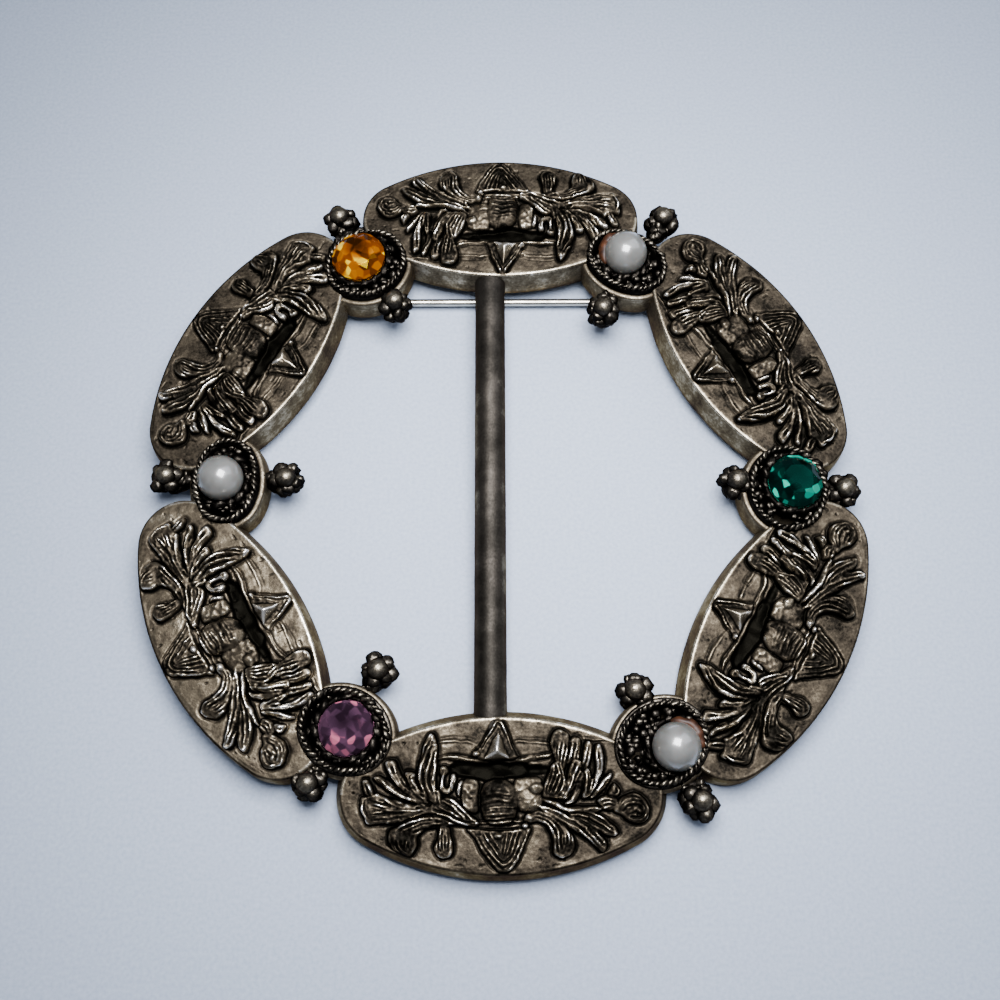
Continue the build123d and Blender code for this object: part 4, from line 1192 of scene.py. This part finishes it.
# The pearls: drilled beads, very slightly out of round
heights = np.linspace(-pi / 2, pi / 2, 27)[1:-1]
for number, name, diameter, cup, stone in seats:
    if name in GLASS:
        continue
    points, faces = stack(turned([(cos(h), sin(h)) for h in heights], turns[::2]))
    points[-2:] = ((0, 0, -1), (0, 0, 1))
    uneven = 1 - 0.006 * np.abs(mottle(points[:, 0] + 3, points[:, 1] + points[:, 2], 0.7, 50 + number))
    points = points * ((PEARL_DIAMETER / 2 - 0.01) * uneven)[:, None] + (0, 0, PEARL_LEVEL)
    made = piece(name + "_bead", [(on_ring(points, *stone), faces)], pearl_lacquer)
    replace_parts(made, name)

# Old glue beside two pearls: a lumpy crescent from one angle to another in the pearl's ring frame, with
# its seed
GLUE_THICKNESS = 0.60
GLUED = {"pearl_upper_right": (-70, 60, 61), "pearl_lower_right": (-50, 72, 62)}
shells = []
for number, name, diameter, cup, stone in seats:
    if name not in GLUED:
        continue
    from_turn, to_turn, seed = GLUED[name]
    rings = []
    for share in np.linspace(0.02, 0.98, 26):
        turn = radians(from_turn + (to_turn - from_turn) * share)
        across = turns[::6]
        lumpy = 1 + 0.25 * mottle(0 * across + share * 9.0, across, 1.0, seed)
        thick = GLUE_THICKNESS * sin(pi * share) ** 0.6 * lumpy
        out = PEARL_DIAMETER / 2 + 0.05 + thick * np.cos(across)
        up = PEARL_LEVEL - 0.30 + 1.3 * thick * np.sin(across)
        rings.append(around(out, up, turn))
    shells.append(stack_at(np.array(rings), stone))
piece("old_glue", shells, glue)

# The floor: plain pale board
floor_mesh = bpy.data.meshes.new("floor")
floor_mesh.from_pydata([(-1, -1, 0), (1, -1, 0), (1, 1, 0), (-1, 1, 0)], [], [(0, 1, 2, 3)])
floor_mesh.materials.append(board)
floor = bpy.data.objects.new("floor", floor_mesh)
bpy.context.scene.collection.objects.link(floor)

# Soft studio light: a pale room, a lamp near the camera, and one broad window at the right
world = bpy.data.worlds.new("pale_room")
bpy.context.scene.world = world
world.use_nodes = True
room = world.node_tree.nodes["Background"].inputs
room["Color"].default_value = hex_colour("#cfdcf6")
room["Strength"].default_value = 0.19

# Each lamp's size in millimetres, watts, spot and target in millimetres, and colour
LAMPS = {
    "lamp_by_the_camera": (58, 0.235, (6, 8, 97), (4, 2, 0), "#fbfbff"),
    "soft_window": (160, 0.13, (130, 90, 150), (0, 0, 0), "#eef3ff"),
}
LAMP_SPREAD = radians(140)
for name, (size, watts, spot, target, colour) in LAMPS.items():
    light = bpy.data.lights.new(name, "AREA")
    light.size = size / 1000
    light.energy = watts
    light.color = hex_colour(colour)[:3]
    light.spread = LAMP_SPREAD
    made = bpy.data.objects.new(name, light)
    spot, target = Vector(spot) / 1000, Vector(target) / 1000
    made.location = spot
    made.rotation_euler = (target - spot).to_track_quat("-Z", "Y").to_euler()
    bpy.context.scene.collection.objects.link(made)

# The camera, fitted to the photograph: its turns, in radians, and its place, in millimetres, are in the
# back's frame
CAMERA_TURNS = {"X": -0.283626, "Y": 0.00146584, "Z": 0.00326879}
CAMERA_PLACE = (-0.2694, -27.7663, 92.8740)
CAMERA_LENS = 36.18
turn_x, turn_y, turn_z = (Matrix.Rotation(turn, 3, axis) for axis, turn in CAMERA_TURNS.items())
seat = Matrix.Translation(Vector(CAMERA_PLACE) / 1000) @ (turn_z @ turn_y @ turn_x).transposed().to_4x4()
lens = bpy.data.cameras.new("camera")
lens.lens = CAMERA_LENS
lens.sensor_width = 36.0
lens.clip_start = 0.005
camera = bpy.data.objects.new("camera", lens)
camera.matrix_world = Matrix.Translation((0, 0, LIFT / 1000)) @ Matrix.Rotation(LEAN, 4, "X") @ seat
bpy.context.scene.collection.objects.link(camera)
bpy.context.scene.camera = camera
